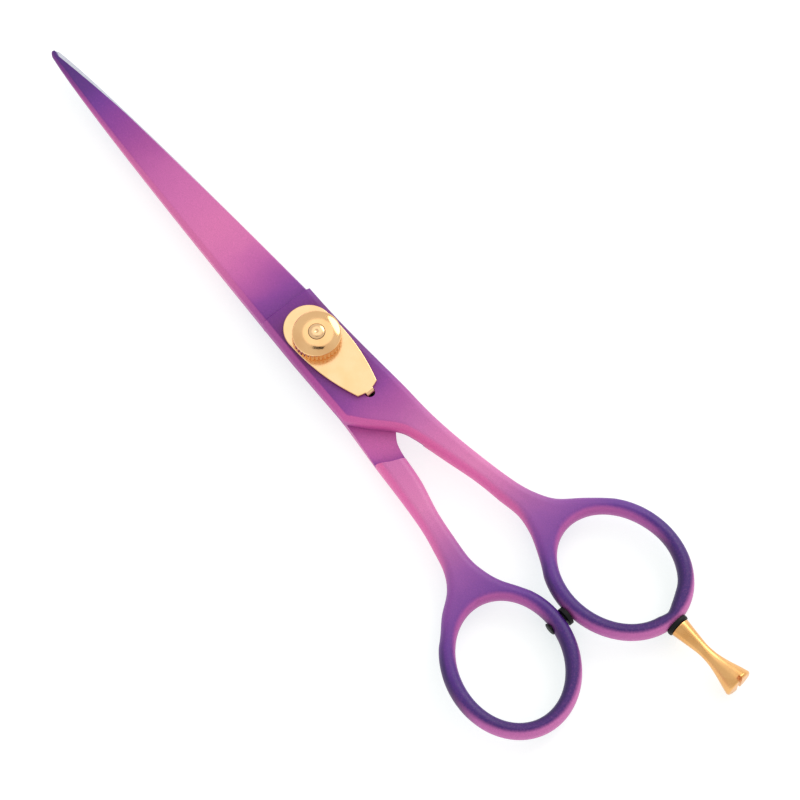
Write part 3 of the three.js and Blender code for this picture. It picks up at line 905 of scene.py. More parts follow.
@dataclass
class HalfPlan:
    """Outline of one half, lying with its inner face down and its ring on the -Y side."""

    ring: Ring
    blade_length: float = 79.2
    back_width: float = 6.05
    taper: float = 0.595
    tip_lead: float = 2.3
    tip_round: float = 1.0
    heel: float = 9.2
    heel_width: float = 5.75
    edge_inset: float = 0.3
    tip_inset: float = 0.48
    trim: float = 0.0
    elbow: float = 15.3
    elbow_width: float = 6.35
    elbow_flare: float = 0.75
    neck: float = 26.0
    neck_offset: float = 1.65
    step: float = 26.6
    step_lean: float = 1.4
    step_bow: float = 0.45
    shank_width: float = 4.3
    shank_end: float = -44.5
    shank_slope: float = 0.7
    shank_swell: float = 0.1
    ring_lead: float = 24.0
    ring_aim: float = 5.2
    ring_entry: float = -33.0
    ring_exit: float = -309.0
    overlap: float = 10.0
    edge_web: Sequence[Sequence[float]] = ((5.7, 1.8), (2.4, -0.3), (-0.4, -3.85))
    back_web: Sequence[Sequence[float]] = ((4.6, 7.05), (0.85, 7.55), (-2.15, 8.6))
    web_root: float = 12.0
    web_share: float = 0.38
    tip_inset_span: tuple[float, float] = (58.0, 79.0)
    tip_merge: float = 1.5
    heel_corner: float = 0.2

    def __post_init__(self) -> None:
        """Work out the smooth edges behind the heel from the ring that they end in."""
        ring, wide, heel = self.ring, self.shank_width, self.heel_width - self.trim
        start = np.array([-self.neck - 1.5, -(self.neck_offset + wide * self.shank_slope)])
        stop = np.array([-ring.reach + self.ring_lead, -ring.offset + self.ring_aim])
        shank = value_curve([
            [-self.elbow, -(self.heel_width + self.elbow_flare - wide / 2)],
            start, (start + stop) / 2 + [0.0, self.shank_swell], stop])
        low, high = (float(shank(-40.0)) + side * wide / 2 for side in (-1, 1))
        self.edge_line = value_curve([
            [self.heel + 2, -heel], [0, -heel], [-self.elbow, -heel - self.elbow_flare],
            [-self.neck, float(shank(-self.neck)) - wide * 0.62], [-40, low], [-48, low - 1.9]])
        self.elbow_line = value_curve([
            [-self.elbow, self.elbow_width], [-self.elbow - 3.3, self.elbow_width - 2.65],
            [-self.elbow - 7.6, -0.2], [-self.neck, -self.neck_offset], [-33, high + 1.7],
            [-40, high], [-48, high - 1.1]])

    def back(self, x: Array) -> Array:
        """Half width to the blade's back: a power of what is left to the tip, then a flare.

        The last stretch closes as a quarter ellipse, which rounds the tip.
        """
        left = 1.0 - np.clip(x, 0.0, self.blade_length) / (self.blade_length + self.tip_lead)
        nose = np.clip((x - self.blade_length) / self.tip_round + 1.0, 0.0, 1.0)
        blade = self.back_width * left**self.taper * np.sqrt(1.0 - nose**2)
        flare = self.back_width - (self.elbow_width - self.back_width) * x / self.elbow
        return np.where(x >= 0.0, blade, flare)

    def outline(self, x: Array, side: Side) -> Array:
        """Y of one long edge, from the tip to the shank's end.

        Args:
            x: places along the scissors.
            side: which edge.

        Returns:
            The edge's Y.
        """
        if side is Side.BACK:
            return np.where(x >= -self.elbow, self.back(x), self.elbow_line(x))
        inset = self.edge_inset * x / self.blade_length
        inset = inset + self.tip_inset * smoothstep(*self.tip_inset_span, x)
        inset = inset * np.clip((self.blade_length - x) / self.tip_merge, 0.0, 1.0)
        cutting, ricasso = -np.clip(self.back(x) - inset, 0.0, None), self.edge_line(x)
        corner = smoothstep(self.heel - self.heel_corner, self.heel + self.heel_corner, x)
        return ricasso + (cutting - ricasso) * corner

    def stations(self) -> Array:
        """X of the lines from the tip to the shank's end, closer where the shape changes."""
        blade = self.blade_length * (1.0 - np.linspace(0.0, 1.0, 170) ** 2.1)
        return np.concatenate([
            blade[blade > self.heel + 0.5], np.linspace(self.heel + 0.4, self.heel - 0.4, 13),
            np.linspace(self.heel - 0.9, -self.step + 1.0, 110),
            np.linspace(-self.step + 0.85, -self.step - 0.85, 24),
            np.linspace(-self.step - 1.1, self.shank_end, 48)])

    def lean(self, x: Array, side: Side) -> Array:
        """How far a line's outline end lies ahead of its core end, so that one follows the step."""
        return -side.value * self.step_lean * np.exp(-(((x + self.step) / 6.0) ** 2))

    def long_side(self, side: Side) -> tuple[Array, Array]:
        """Outline and core points from the tip to the shank's end.

        Args:
            side: which edge.

        Returns:
            Outline points and core points.
        """
        x = self.stations()
        ahead = x + self.lean(x, side)
        middle = (self.outline(x, Side.EDGE) + self.outline(x, Side.BACK)) / 2
        return (np.stack([ahead, self.outline(ahead, side)], axis=1),
                np.stack([x, middle], axis=1))

    def web(self, side: Side, steps: int = 26) -> tuple[Array, Array]:
        """Outline and core points from the shank's end into the ring.

        The core runs on to the hole's nearest point, then along the hole's edge.

        Args:
            side: which edge.
            steps: lines before and after that point.

        Returns:
            Outline points and core points.
        """
        ring = self.ring
        end = -ring.reach + ring.hole_length / 2 + ring.wall
        if side is Side.EDGE:
            bends, entry, onward = self.edge_web, self.ring_entry, -1.0
        else:
            bends, entry, onward = self.back_web, self.ring_exit, 1.0
        start = [[x, float(self.outline(np.array(x), side))] for x in (-35.0, -40.0, self.shank_end)]
        into = [math.radians(entry - ring.tilt + onward * turn) for turn in (0.0, self.overlap)]
        path = spline(start + [[end + a, -ring.offset + b] for a, b in bends]
                      + [ring.point(turn, ring.wall).tolist() for turn in into], 40)[80:]
        root = math.radians(self.web_root - ring.tilt)
        stop = into[1] if side is Side.EDGE else into[1] + TAU
        middle = sum(float(self.outline(np.array(self.shank_end), s)) for s in Side) / 2
        medial = np.array([[self.shank_end, middle], ring.hole_point(root)])
        rim = ring.hole_point(np.linspace(root, stop, 60))
        turn_at = self.web_share
        even = np.linspace(0.0, 1.0, steps)[1:]
        before, after = 1.0 - (1.0 - even) ** 1.9, even**1.4
        core = np.vstack([resample(medial, before), resample(rim, after)])
        share = np.concatenate([before * turn_at, turn_at + after * (1.0 - turn_at)])
        return resample(path, share), core

    def loop(self) -> tuple[Array, Array, slice]:
        """Whole outline, tip to tip round the ring, with the core point of every line.

        Returns:
            Outline points, core points, and which lines end on the ring's hole.
        """
        ring = self.ring
        sides = [self.long_side(side) for side in Side]
        webs = [self.web(side) for side in Side]
        start = math.radians(self.ring_entry - self.overlap - ring.tilt)
        stop = math.radians(self.ring_exit + self.overlap - ring.tilt)
        angle = np.linspace(start, stop, 170)[1:-1]
        outer = np.vstack([sides[0][0], webs[0][0], ring.point(angle, ring.wall),
                           webs[1][0][::-1], sides[1][0][::-1]])
        core = np.vstack([sides[0][1], webs[0][1], ring.hole_point(angle), webs[1][1][::-1],
                          sides[1][1][::-1]])
        first = len(sides[0][0]) + len(webs[0][0]) // 2 - 1
        return outer, core, slice(first, len(outer) - first)


@dataclass
class HalfForm:
    """Heights of one half: chamfered at the blade, rounded over at the shank and the ring."""

    plan: HalfPlan
    thickness: float = 2.95
    tip_thickness: float = 1.15
    spine_drop: float = 0.12
    edge_land: float = 0.14
    bevel_slope: float = 3.2
    wedge: float = 0.4
    wedge_core: float = 0.75
    chamfer: float = 1.1
    chamfer_taper: float = 0.006
    chamfer_share: float = 0.3
    chamfer_drop: float = 0.85
    chamfer_soft: float = 0.012
    edge_relief: tuple[float, float] = (0.12, 0.07)
    handle_chamfer: float = 0.95
    shank_top: float = 2.05
    shank_under: float = 1.95
    shank_span: tuple[float, float] = (-15.3, -41.3)
    ring_span: tuple[float, float] = (-42.0, -52.0)
    under_span: tuple[float, float] = (-30.0, -50.0)
    round_span: tuple[float, float] = (-17.0, -34.0)
    round_width: float = 1.5
    round_power: float = 2.2
    ridge: float = 0.85
    face_gap: float = 0.05
    hollow: float = 0.12
    hollow_run: float = 3.0
    heel_blend: float = 0.15
    step_width: float = 0.28

    def rounding(self, distance: Array, reach: Array | float) -> Array:
        """Rise over a rounded edge: (1 - (1 - d)^p)^(1/p), d being the share of its reach.

        The curve stops short of level, which leaves a soft ridge where it ends.
        """
        share = self.ridge * np.clip(distance / reach, 0.0, 1.0)
        rise, full = (1.0 - (1.0 - d) ** self.round_power for d in (share, self.ridge))
        return (rise / full) ** (1.0 / self.round_power)

    def chamfering(self, distance: Array, reach: Array | float, drop: Array | float) -> Array:
        """Fall over a flat chamfer, with its two corners slightly softened.

        Args:
            distance: from the outline.
            reach: width of the chamfer.
            drop: how far it falls at the outline.

        Returns:
            How far the face lies below the flat.
        """
        left = 1.0 - distance / reach
        soft = (left + np.sqrt(left**2 + self.chamfer_soft)) / 2.0
        fall, width = self.edge_relief
        return drop * soft + fall * np.exp(-((distance / width) ** 2))

    def faces(self, plan_grid: Array, outline: Array, hole: Array) -> tuple[Array, Array]:
        """Heights of the outer and inner face over the plan.

        Args:
            plan_grid: X and Y by line and row.
            outline: the whole outline.
            hole: the hole's edge.

        Returns:
            Outer heights and inner heights by line and row.
        """
        plan = self.plan
        spots = plan_grid.reshape(-1, 2)
        x, y = spots.T
        middle = len(outline) // 2
        to_edge = path_distance(spots, outline[:middle + 1])
        to_back = path_distance(spots, outline[middle:])
        to_rim = np.minimum(np.minimum(to_edge, to_back), path_distance(spots, hole))
        low, high = plan.outline(x, Side.EDGE), plan.outline(x, Side.BACK)
        width, ring_half = np.maximum(high - low, 0.1), plan.ring.thickness / 2
        slope = self.chamfer_drop / self.thickness

        flat = self.thickness + (self.shank_top - self.thickness) * smoothstep(*self.shank_span, x)
        flat = flat + (ring_half - self.shank_top) * smoothstep(*self.ring_span, x)
        body = flat - sum(self.chamfering(away, self.handle_chamfer, slope * flat)
                          for away in (to_back, to_edge))
        rounded_body = flat * self.rounding(to_rim, self.round_width)
        body = body + (rounded_body - body) * smoothstep(*self.round_span, x)

        along = np.clip(x / plan.blade_length, 0.0, 1.0)
        spine = self.thickness - self.spine_drop
        spine = spine + (self.tip_thickness - spine) * along
        reach = np.minimum(self.chamfer - self.chamfer_taper * x, self.chamfer_share * (high - low))
        reach = np.maximum(reach, 0.05)
        fall = self.wedge * (spine - self.wedge_core) * np.clip((high - reach - y) / width, 0.0, 1.0)
        blade = spine - fall - self.chamfering(to_back, reach, slope * spine)
        blade = np.minimum(blade, self.edge_land + self.bevel_slope * to_edge)
        blade = np.maximum(blade, self.face_gap + 0.05)
        heel = smoothstep(plan.heel - self.heel_blend, plan.heel + self.heel_blend, x)
        outer = body + (blade - body) * heel

        across = np.clip((y - low) / width, 0.0, 1.0)
        ground = smoothstep(plan.heel, plan.heel + self.hollow_run, x)
        ground = ground * self.hollow * np.sin(math.pi * across) ** 2
        inner = self.face_gap + ground * (1.0 - along)
        under = self.shank_under + (ring_half - self.shank_under) * smoothstep(*self.under_span, x)
        handle = -under * self.rounding(to_rim, self.round_width)
        inner = inner + (handle - inner) * self.behind_step(spots)
        shape = plan_grid.shape[:2]
        return outer.reshape(shape), inner.reshape(shape)

    def step_place(self, spots: Array) -> Array:
        """X of the step at a point's Y: it runs slantwise, bowed, from one edge to the other."""
        plan = self.plan
        low, high = (float(plan.outline(np.array(-plan.step), side)) for side in Side)
        share = np.clip((spots[:, 1] - (low + high) / 2) / ((high - low) / 2), -1.2, 1.2)
        return -plan.step - plan.step_lean * share + plan.step_bow * (share**2 - 0.6)

    def behind_step(self, spots: Array) -> Array:
        """Rise from 0 ahead of the handle's step to 1 behind it."""
        half = self.step_width / 2
        return smoothstep(half, -half, spots[:, 0] - self.step_place(spots))


@dataclass(frozen=True)
class Spray:
    """How the violet fell on a half, and where shade is painted on it.

    Each span is a pair of places along X, or of amounts by which a face turns to the spray,
    between which a fade runs.
    """

    on_blade: tuple[float, float, float] = (0.3, -0.75, 0.6)
    on_ring: tuple[float, float, float] = (0.78, -0.35, 0.53)
    blade_fade: tuple[float, float] = (-0.05, 0.5)
    ring_fade: tuple[float, float] = (-0.1, 0.42)
    ring_span: tuple[float, float] = (-38.0, -54.0)
    lee: tuple[float, float, float] = (0.8, 0.45, 0.0)
    lee_fade: tuple[float, float] = (0.15, 0.55)
    lee_span: tuple[float, float] = (-56.0, -64.0)
    lee_shade: float = 0.85
    recess_spray: float = 0.45
    recess_start: float = -12.0
    recess_height: float = 0.3
    recess_shade: tuple[float, float] = (0.1, 0.85)
    recess_fade: float = 2.0

    def amounts(self, spots: Array, facing: Array, ahead: Array) -> tuple[Array, Array]:
        """Amount of violet and depth of painted shade; a recess is darkest right at its step.

        Args:
            spots: places in the half's own frame.
            facing: which way the surface faces at each, both sides counted as one.
            ahead: how far each lies ahead of the handle's step.

        Returns:
            The violet and the shade at each place, from 0 to 1.
        """
        x = spots[:, 0]
        at_ring = smoothstep(*self.ring_span, x)
        spray = (smoothstep(*self.blade_fade, facing @ np.array(self.on_blade)) * (1.0 - at_ring)
                 + smoothstep(*self.ring_fade, facing @ np.array(self.on_ring)) * at_ring)
        level = np.abs(spots[:, 2]) < self.recess_height
        # Painted shade in the recess ahead of the handle's step: darkest at the step, fading ahead of
        # it.
        recess = level & (ahead > -self.recess_height) & (x < self.recess_start)
        least, more = self.recess_shade
        shade_here = least + more * np.exp(-np.clip(ahead, 0.0, None) / self.recess_fade)
        # Painted shade on the ring's lee side, on faces turned towards +X and +Y.
        lee = smoothstep(*self.lee_fade, facing @ np.array(self.lee)) * smoothstep(*self.lee_span, x)
        return (np.where(recess, self.recess_spray, spray),
                np.maximum(np.where(recess, shade_here, 0.0), self.lee_shade * lee))


@dataclass
class Half:
    """One forged half: slab mesh, bores, bare steel inside the blade, painted shade in its deep holes,
    and its lacquer.
    """

    name: str
    body: str
    plan: HalfPlan
    turned_over: bool
    mid_plane: float = 3.8
    rows: Rows = Rows()
    spray: Spray = Spray()
    hole_shade_spots: Sequence[tuple[float, float, float]] = ()
    smooth_angle: float = 32.0

    @property
    def flip(self) -> Array:
        """Signs that turn the lower half over about X."""
        side = -1.0 if self.turned_over else 1.0
        return np.array([1.0, side, side])

    @property
    def middle(self) -> Array:
        """Where the half's own origin lies in the scissors."""
        return np.array([0.0, 0.0, self.mid_plane])

    def build(self, tools: Iterable[bpy.types.Object]) -> bpy.types.Object:
        """Make the half and cut its holes.

        Args:
            tools: cutters in place.

        Returns:
            The finished mesh object.
        """
        form = HalfForm(self.plan)
        outer, core, on_hole = self.plan.loop()
        plan_grid = self.rows.grid(outer, core)
        hole = core[on_hole]
        upper, lower = form.faces(plan_grid, outer, np.vstack([hole, hole[:1]]))
        points, faces = slab(plan_grid, upper, lower)
        obj = make_mesh(self.name, points * self.flip + self.middle, faces)
        cut(obj, tools)
        shade(obj, self.smooth_angle)
        self.dress(obj.data, form)
        return obj

    def dress(self, mesh: bpy.types.Mesh, form: HalfForm) -> None:
        """Lacquer outside, bare ground steel inside the blade, painted shade in deep holes, and where
        the spray fell and shade is painted.

        Args:
            mesh: the half's mesh.
            form: its heights, which say where the step lies.
        """
        mesh.materials.clear()
        for finish in (SprayedSteel(), GroundSteel(f"ground_stainless_{self.body}"),
                       HoleShadeFinish(f"painted_hole_shade_{self.body}")):
            mesh.materials.append(finish.build())
        corner = read_rows(mesh.loops, "vertex_index", 1, np.int32)[:, 0]
        own = (read_rows(mesh.vertices, "co") / MM - self.middle)[corner] * self.flip
        facing = read_rows(mesh.corner_normals, "vector")
        facing[:, 2] = np.abs(facing[:, 2])
        ahead = own[:, 0] - form.step_place(own[:, :2])
        for name, values in zip(("spray", "shadow"), self.spray.amounts(own, facing, ahead)):
            layer = mesh.attributes.new(name, "FLOAT", "CORNER")
            layer.data.foreach_set("value", values.astype(np.float32))

        centre = (read_rows(mesh.polygons, "center") / MM - self.middle) * self.flip
        faces_in = (read_rows(mesh.polygons, "normal") * self.flip)[:, 2] < -0.8
        index = (faces_in & (centre[:, 0] > self.plan.heel)).astype(np.int32)
        walls = (centre[:, 2] < form.thickness - 0.1) & (centre[:, 2] > 0.2)
        # Painted shade: the walls of each deep hole take the near-black finish, because the hole lies
        # in shade.
        for x, y, radius in self.hole_shade_spots:
            index[walls & (np.hypot(centre[:, 0] - x, centre[:, 1] - y) < radius + 0.02)] = 2
        mesh.polygons.foreach_set("material_index", index)
        mesh.update()


# ------------------------------------------------------------------ the pivot


@dataclass
class Levels:
    """Heights along the pivot, from the flat under the screw's head."""

    head: float = 0.5
    head_washer: tuple[float, float] = (0.55, 0.75)
    lower_face: float = 0.8
    blade_washer: tuple[float, float] = (3.35, 3.79)
    mid_plane: float = 3.8
    upper_face: float = 6.8
    plate: tuple[float, float] = (6.85, 7.45)
    knob_base: float = 7.5


@dataclass
class Pivot:
    """Screw, washers, bushing, leaf plate and knurled knob on the Z axis."""

    levels: Levels = field(default_factory=Levels)
    screw_radius: float = 2.0
    end_radius: float = 1.5
    clearance: float = 0.08
    head_radius: float = 4.0
    head_washer_radius: float = 3.7
    blade_washer_radius: float = 4.5
    bushing_wall: float = 0.5
    bushing_top: float = 3.25
    knob_radius: float = 4.6
    knob_rim: float = 2.2
    knob_dome: float = 1.0
    knob_bevel: float = 0.3
    dome_inset: float = 0.06
    knurls: int = 36
    knurl_depth: float = 0.26
    knurl_steps: int = 14
    plate_nose: float = 7.2
    plate_half_width: float = 4.75
    plate_shift: float = 0.15
    plate_tail: float = 14.0
    plate_tail_width: float = 2.35
    plate_round: float = 0.14
    plate_tilt: float = 2.3
    tab_half_width: float = 0.86
    tab_length: float = 2.0
    tab_bend: float = 0.45
    tab_hole_radius: float = 1.0

    @property
    def bore(self) -> float:
        """Radius of a hole that runs on the screw."""
        return self.screw_radius + self.clearance

    @property
    def tab_hole(self) -> tuple[float, float]:
        """X and Y of the hole that the plate's tail bends down into."""
        tilt, reach = math.radians(self.plate_tilt), -self.plate_tail - 0.32
        return reach * math.cos(tilt), reach * math.sin(tilt) - self.plate_shift

    def knob(self) -> bpy.types.Object:
        """Knurled rim under a low polished dome, bored for the screw's end.

        Teeth: the rim's radius falls by depth (1 - |cos(n angle / 2)|^0.7) between crests.

        Returns:
            The knob.
        """
        base, outer, bevel = self.levels.knob_base, self.knob_radius, self.knob_bevel
        rim, skirt = base + self.knob_rim, outer - self.dome_inset
        bore = self.end_radius + self.clearance
        dome = [[skirt * math.cos(a), rim + self.knob_dome * math.sin(a)]
                for a in np.linspace(0.04, math.acos(bore / skirt) - 0.03, 16)]
        side = rounded([[bore, base], [outer - bevel, base], [outer, base + bevel],
                        [outer, rim - 0.5], [outer - 0.02, rim - 0.16], [skirt, rim], dome[0]],
                       0.08, 3)
        mouth = rounded([dome[-1], [bore, dome[-1][1] + 0.02], [bore, base]], 0.08, 3)
        profile = np.vstack([side, dome[1:], mouth[1:]])
        angle = np.linspace(0.0, TAU, self.knurls * self.knurl_steps, endpoint=False)
        tooth = self.knurl_depth * (1.0 - np.abs(np.cos(self.knurls * angle / 2)) ** 0.7)
        cut_in = smoothstep(rim - 0.05, rim - 0.45, profile[:, 1:]) * (profile[:, :1] > outer - 0.5)
        points, quads = turned_points(profile, len(angle), tooth * cut_in)
        return shade(make_mesh("tension_knob_turned", *weld(points, quads)), 38.0)

    def plate_edge(self) -> Array:
        """Half the plate's outline: quarter-round nose, Bezier side, shoulder and narrow tail."""
        half, tail, wide = self.plate_half_width, self.plate_tail, self.plate_tail_width
        centre, tab = self.plate_nose - half, self.tab_half_width
        turn = np.linspace(0.0, math.pi / 2, 40)
        nose = np.stack([centre + half * np.cos(turn), half * np.sin(turn)], axis=1)
        t = np.linspace(0.0, 1.0, 70)[1:, None]
        a, b, c, d = np.array([[centre, half], [-tail * 0.35, half * 1.06],
                               [-tail * 0.7, half * 0.78], [-tail + 0.35, wide]])
        side = (1 - t) ** 3 * a + 3 * t * (1 - t) ** 2 * b + 3 * t**2 * (1 - t) * c + t**3 * d
        tip = -tail - 0.1 - self.tab_length
        end = rounded([d, [-tail + 0.05, wide * 0.62], [-tail - 0.1, tab], [tip + 0.2, tab * 0.95],
                       [tip, 0.0]], 0.14, 3)
        legs = [resample(end[k:k + 2], np.linspace(0, 1, 4)[1:]) for k in range(len(end) - 1)]
        return np.vstack([nose, side, *legs])

    def bend(self, points: Array) -> Array:
        """Bend the plate's tail down a quarter turn, then turn the plate to its own tilt.

        Past the bend's start a point at depth s goes to angle s / radius round the bend's axis.

        Args:
            points: the flat plate's vertices.

        Returns:
            The bent plate's vertices.
        """
        x, y, z = points.T
        start, middle, bend = -self.plate_tail - 0.1, sum(self.levels.plate) / 2, self.tab_bend
        past = np.clip(start - x, 0.0, None)
        swing = np.minimum(past / bend, math.pi / 2)
        radius = bend + z - middle
        beyond = np.clip(past - bend * math.pi / 2, 0.0, None)
        bent = past > 0.0
        z = np.where(bent, middle - bend + radius * np.cos(swing) - beyond, z)
        x = np.where(bent, start - radius * np.sin(swing), x)
        tilt = math.radians(self.plate_tilt)
        return np.stack([x * math.cos(tilt) - y * math.sin(tilt),
                         x * math.sin(tilt) + y * math.cos(tilt) - self.plate_shift, z], axis=1)

    def plate(self) -> bpy.types.Object:
        """Leaf with rounded edges and two shoulders; its narrow tail bends down into its hole."""
        low, high = self.levels.plate
        edge = self.plate_edge()
        spine = np.minimum.accumulate(edge[:, 0] - np.arange(len(edge)) * 1e-5)
        core = np.stack([spine, np.zeros(len(edge))], axis=1)
        core[-1] = edge[-1]
        outer = np.vstack([edge[::-1], edge[1:] * [1, -1]])
        rows = Rows(edge=(0.0, 0.02, 0.05, 0.09, 0.14, 0.2, 0.5), core=(0.3, 0.0), middle=4)
        plan_grid = rows.grid(outer, np.vstack([core[::-1], core[1:]]))
        away = path_distance(plan_grid.reshape(-1, 2), outer).reshape(plan_grid.shape[:2])
        share = np.clip(away / self.plate_round, 0.0, 1.0)
        shrink = self.plate_round * (1.0 - np.sqrt(1.0 - (1.0 - share) ** 2))
        points, faces = slab(plan_grid, high - shrink, low + shrink)
        obj = make_mesh("tension_plate_pressed", self.bend(points), faces)
        cut(obj, [bar_tool(self.bore, low - 1, high + 1)])
        return shade(obj, 40.0)

    def screw(self) -> bpy.types.Object:
        """Flat head, round journal and a plain end with a dimple, standing in the knob's bore."""
        end, journal, flat, neck = (self.end_radius, self.screw_radius, self.levels.head,
                                    self.levels.knob_base - self.clearance)
        top = self.levels.knob_base + self.knob_rim + self.knob_dome
        stem = rounded([[0, 0], [self.head_radius, 0], [self.head_radius, flat], [journal, flat],
                        [journal, neck], [end, neck], [end, top]], 0.12, 4)
        crown = [[end * share, top + rise] for share, rise in (
            (0.93, 0.1), (0.75, 0.19), (0.5, 0.25), (0.3, 0.26), (0.2, 0.23), (0.1, 0.14), (0.0, 0.1))]
        return shade(turned("pivot_screw_turned", np.vstack([stem, crown]), sides=96), 35.0)

    def tube(self, name: str, outer: float, low: float, high: float, soft: float) -> bpy.types.Object:
        """Washer or sleeve on the journal, with its edges slightly rounded.

        Args:
            name: the piece's name.
            outer: its outer radius.
            low: its lower face.
            high: its upper face.
            soft: rounding of its edges.

        Returns:
            The piece.
        """
        seam = [self.bore, (low + high) / 2]
        profile = rounded([seam, [self.bore, low], [outer, low], [outer, high], [self.bore, high],
                           seam], soft, 3)
        return shade(turned(name, profile, sides=96), 40.0)


# ------------------------------------------------------------------ the rest and the bumper


@dataclass
class FingerRest:
    """Screwed-in rest on the finger ring: rubber washer, waisted stem, slotted flare."""

    spot: Spot = Spot(-83.2825, -14.8673, 3.8, math.pi + math.radians(4.0))
    length: float = 15.0
    neck: float = 1.9
    waist: float = 1.15
    flare: float = 2.85
    lip: float = 0.5
    stud: float = 0.95
    stud_length: float = 2.0
    clearance: float = 0.08
    washer_radius: float = 2.25
    washer: tuple[float, float] = (0.1, 1.0)
    washer_bulge: float = 0.12
    washer_room: float = 0.5
    slot: float = 0.9

    def tools(self) -> list[bpy.types.Object]:
        """Cutters of the flat under the washer and of the stud's hole."""
        return [bar_tool(self.washer_radius + self.washer_room, 0.0, 6.0, self.spot),
                bar_tool(self.stud + self.clearance, -self.stud_length - self.clearance, 1.0,
                         self.spot)]

    def rest(self) -> bpy.types.Object:
        """The rest: its outline is a smooth curve from the neck through the waist to the flare."""
        base = self.washer[1] + 0.1
        end = base + self.length
        shares = ((self.neck * 0.87, 0.13), (self.waist * 1.1, 0.32), (self.waist, 0.43),
                  (self.waist * 1.12, 0.56), (self.flare * 0.62, 0.71), (self.flare * 0.85, 0.86))
        body = spline([[self.neck, base + 0.3]] + [[r, base + self.length * k] for r, k in shares]
                      + [[self.flare, end - self.lip - 0.05]], 14)
        turn = np.linspace(0.0, math.pi / 2, 7)[1:]
        lip = [self.flare, end] + self.lip * (np.stack([np.cos(turn), np.sin(turn)], axis=1) - 1.0)
        start = rounded([[0, -self.stud_length], [self.stud, -self.stud_length], [self.stud, base],
                         [self.neck, base], body[0]], 0.14, 3)
        obj = turned("finger_rest_turned", np.vstack([start, body[1:], lip, [[0.0, end]]]), sides=72)
        corners = np.array([[a, b, c] for a in (-self.slot / 2, self.slot / 2) for b in (-5.0, 5.0)
                            for c in (end - self.slot, end + 1.0)])
        cut(obj, [link_mesh("groove", corners, [[0, 1, 3, 2], [4, 6, 7, 5], [0, 4, 5, 1],
                                                [2, 3, 7, 6], [0, 2, 6, 4], [1, 5, 7, 3]])])
        laid = self.spot.lay(read_rows(obj.data.vertices, "co") / MM)
        obj.data.vertices.foreach_set("co", (laid * MM).ravel())
        return shade(obj, 32.0)

    def gasket(self) -> bpy.types.Object:
        """The rubber washer: its rim bulges slightly where the rest squeezes it."""
        low, high = self.washer
        bore, middle = self.stud + self.clearance, (low + high) / 2
        turn = np.linspace(-1.0, 1.0, 9)
        rim = np.stack([self.washer_radius - self.washer_bulge * turn**4,
                        middle + turn * (high - low) / 2], axis=1)
        profile = np.vstack([[[bore, middle], [bore, low]], rim, [[bore, high], [bore, middle]]])
        return shade(turned("finger_rest_gasket", profile, self.spot, 72), 40.0)


@dataclass
class Bumper:
    """Rubber plug through the thumb ring that the finger ring closes on."""

    ring: Ring = THUMB_RING
    other: Ring = FINGER_RING
    z: float = 3.8
    head: float = 1.8
    stem: float = 0.75
    clearance: float = 0.08
    tail: float = 1.2
    tail_length: float = 0.3
    tail_gap: float = 0.15
    seat_gap: float = 0.1
    stand_off: float = 0.08

    @property
    def spot(self) -> Spot:
        """The plug's axis runs across the scissors at the thumb ring's middle."""
        return Spot(-self.ring.reach, 0.0, self.z, math.pi / 2)

    def hole(self) -> bpy.types.Object:
        """Cutter for the stem's hole, through the thumb ring's near wall."""
        low, high = -self.ring.near_side(self.ring.wall) - 2, -self.ring.near_side(0.0) + 2
        return bar_tool(self.stem + self.clearance, low, high, self.spot)

    def build(self) -> bpy.types.Object:
        """Head between the rings, stem through the wall and a round button inside the ring."""
        near = -self.ring.near_side(self.ring.wall) - self.seat_gap
        stop = self.other.near_side(self.other.wall) + self.stand_off
        inside = -self.ring.near_side(0.0) + self.tail_gap
        button = inside + self.tail_length
        profile = rounded([[0, stop], [self.head, stop], [self.head, near], [self.stem, near],
                           [self.stem, inside], [self.tail, inside], [self.tail, button - 0.12],
                           [self.tail * 0.7, button], [0, button]], 0.08, 3)
        return shade(turned("bumper_moulded", profile, self.spot), 40.0)


# ------------------------------------------------------------------ the scene around it


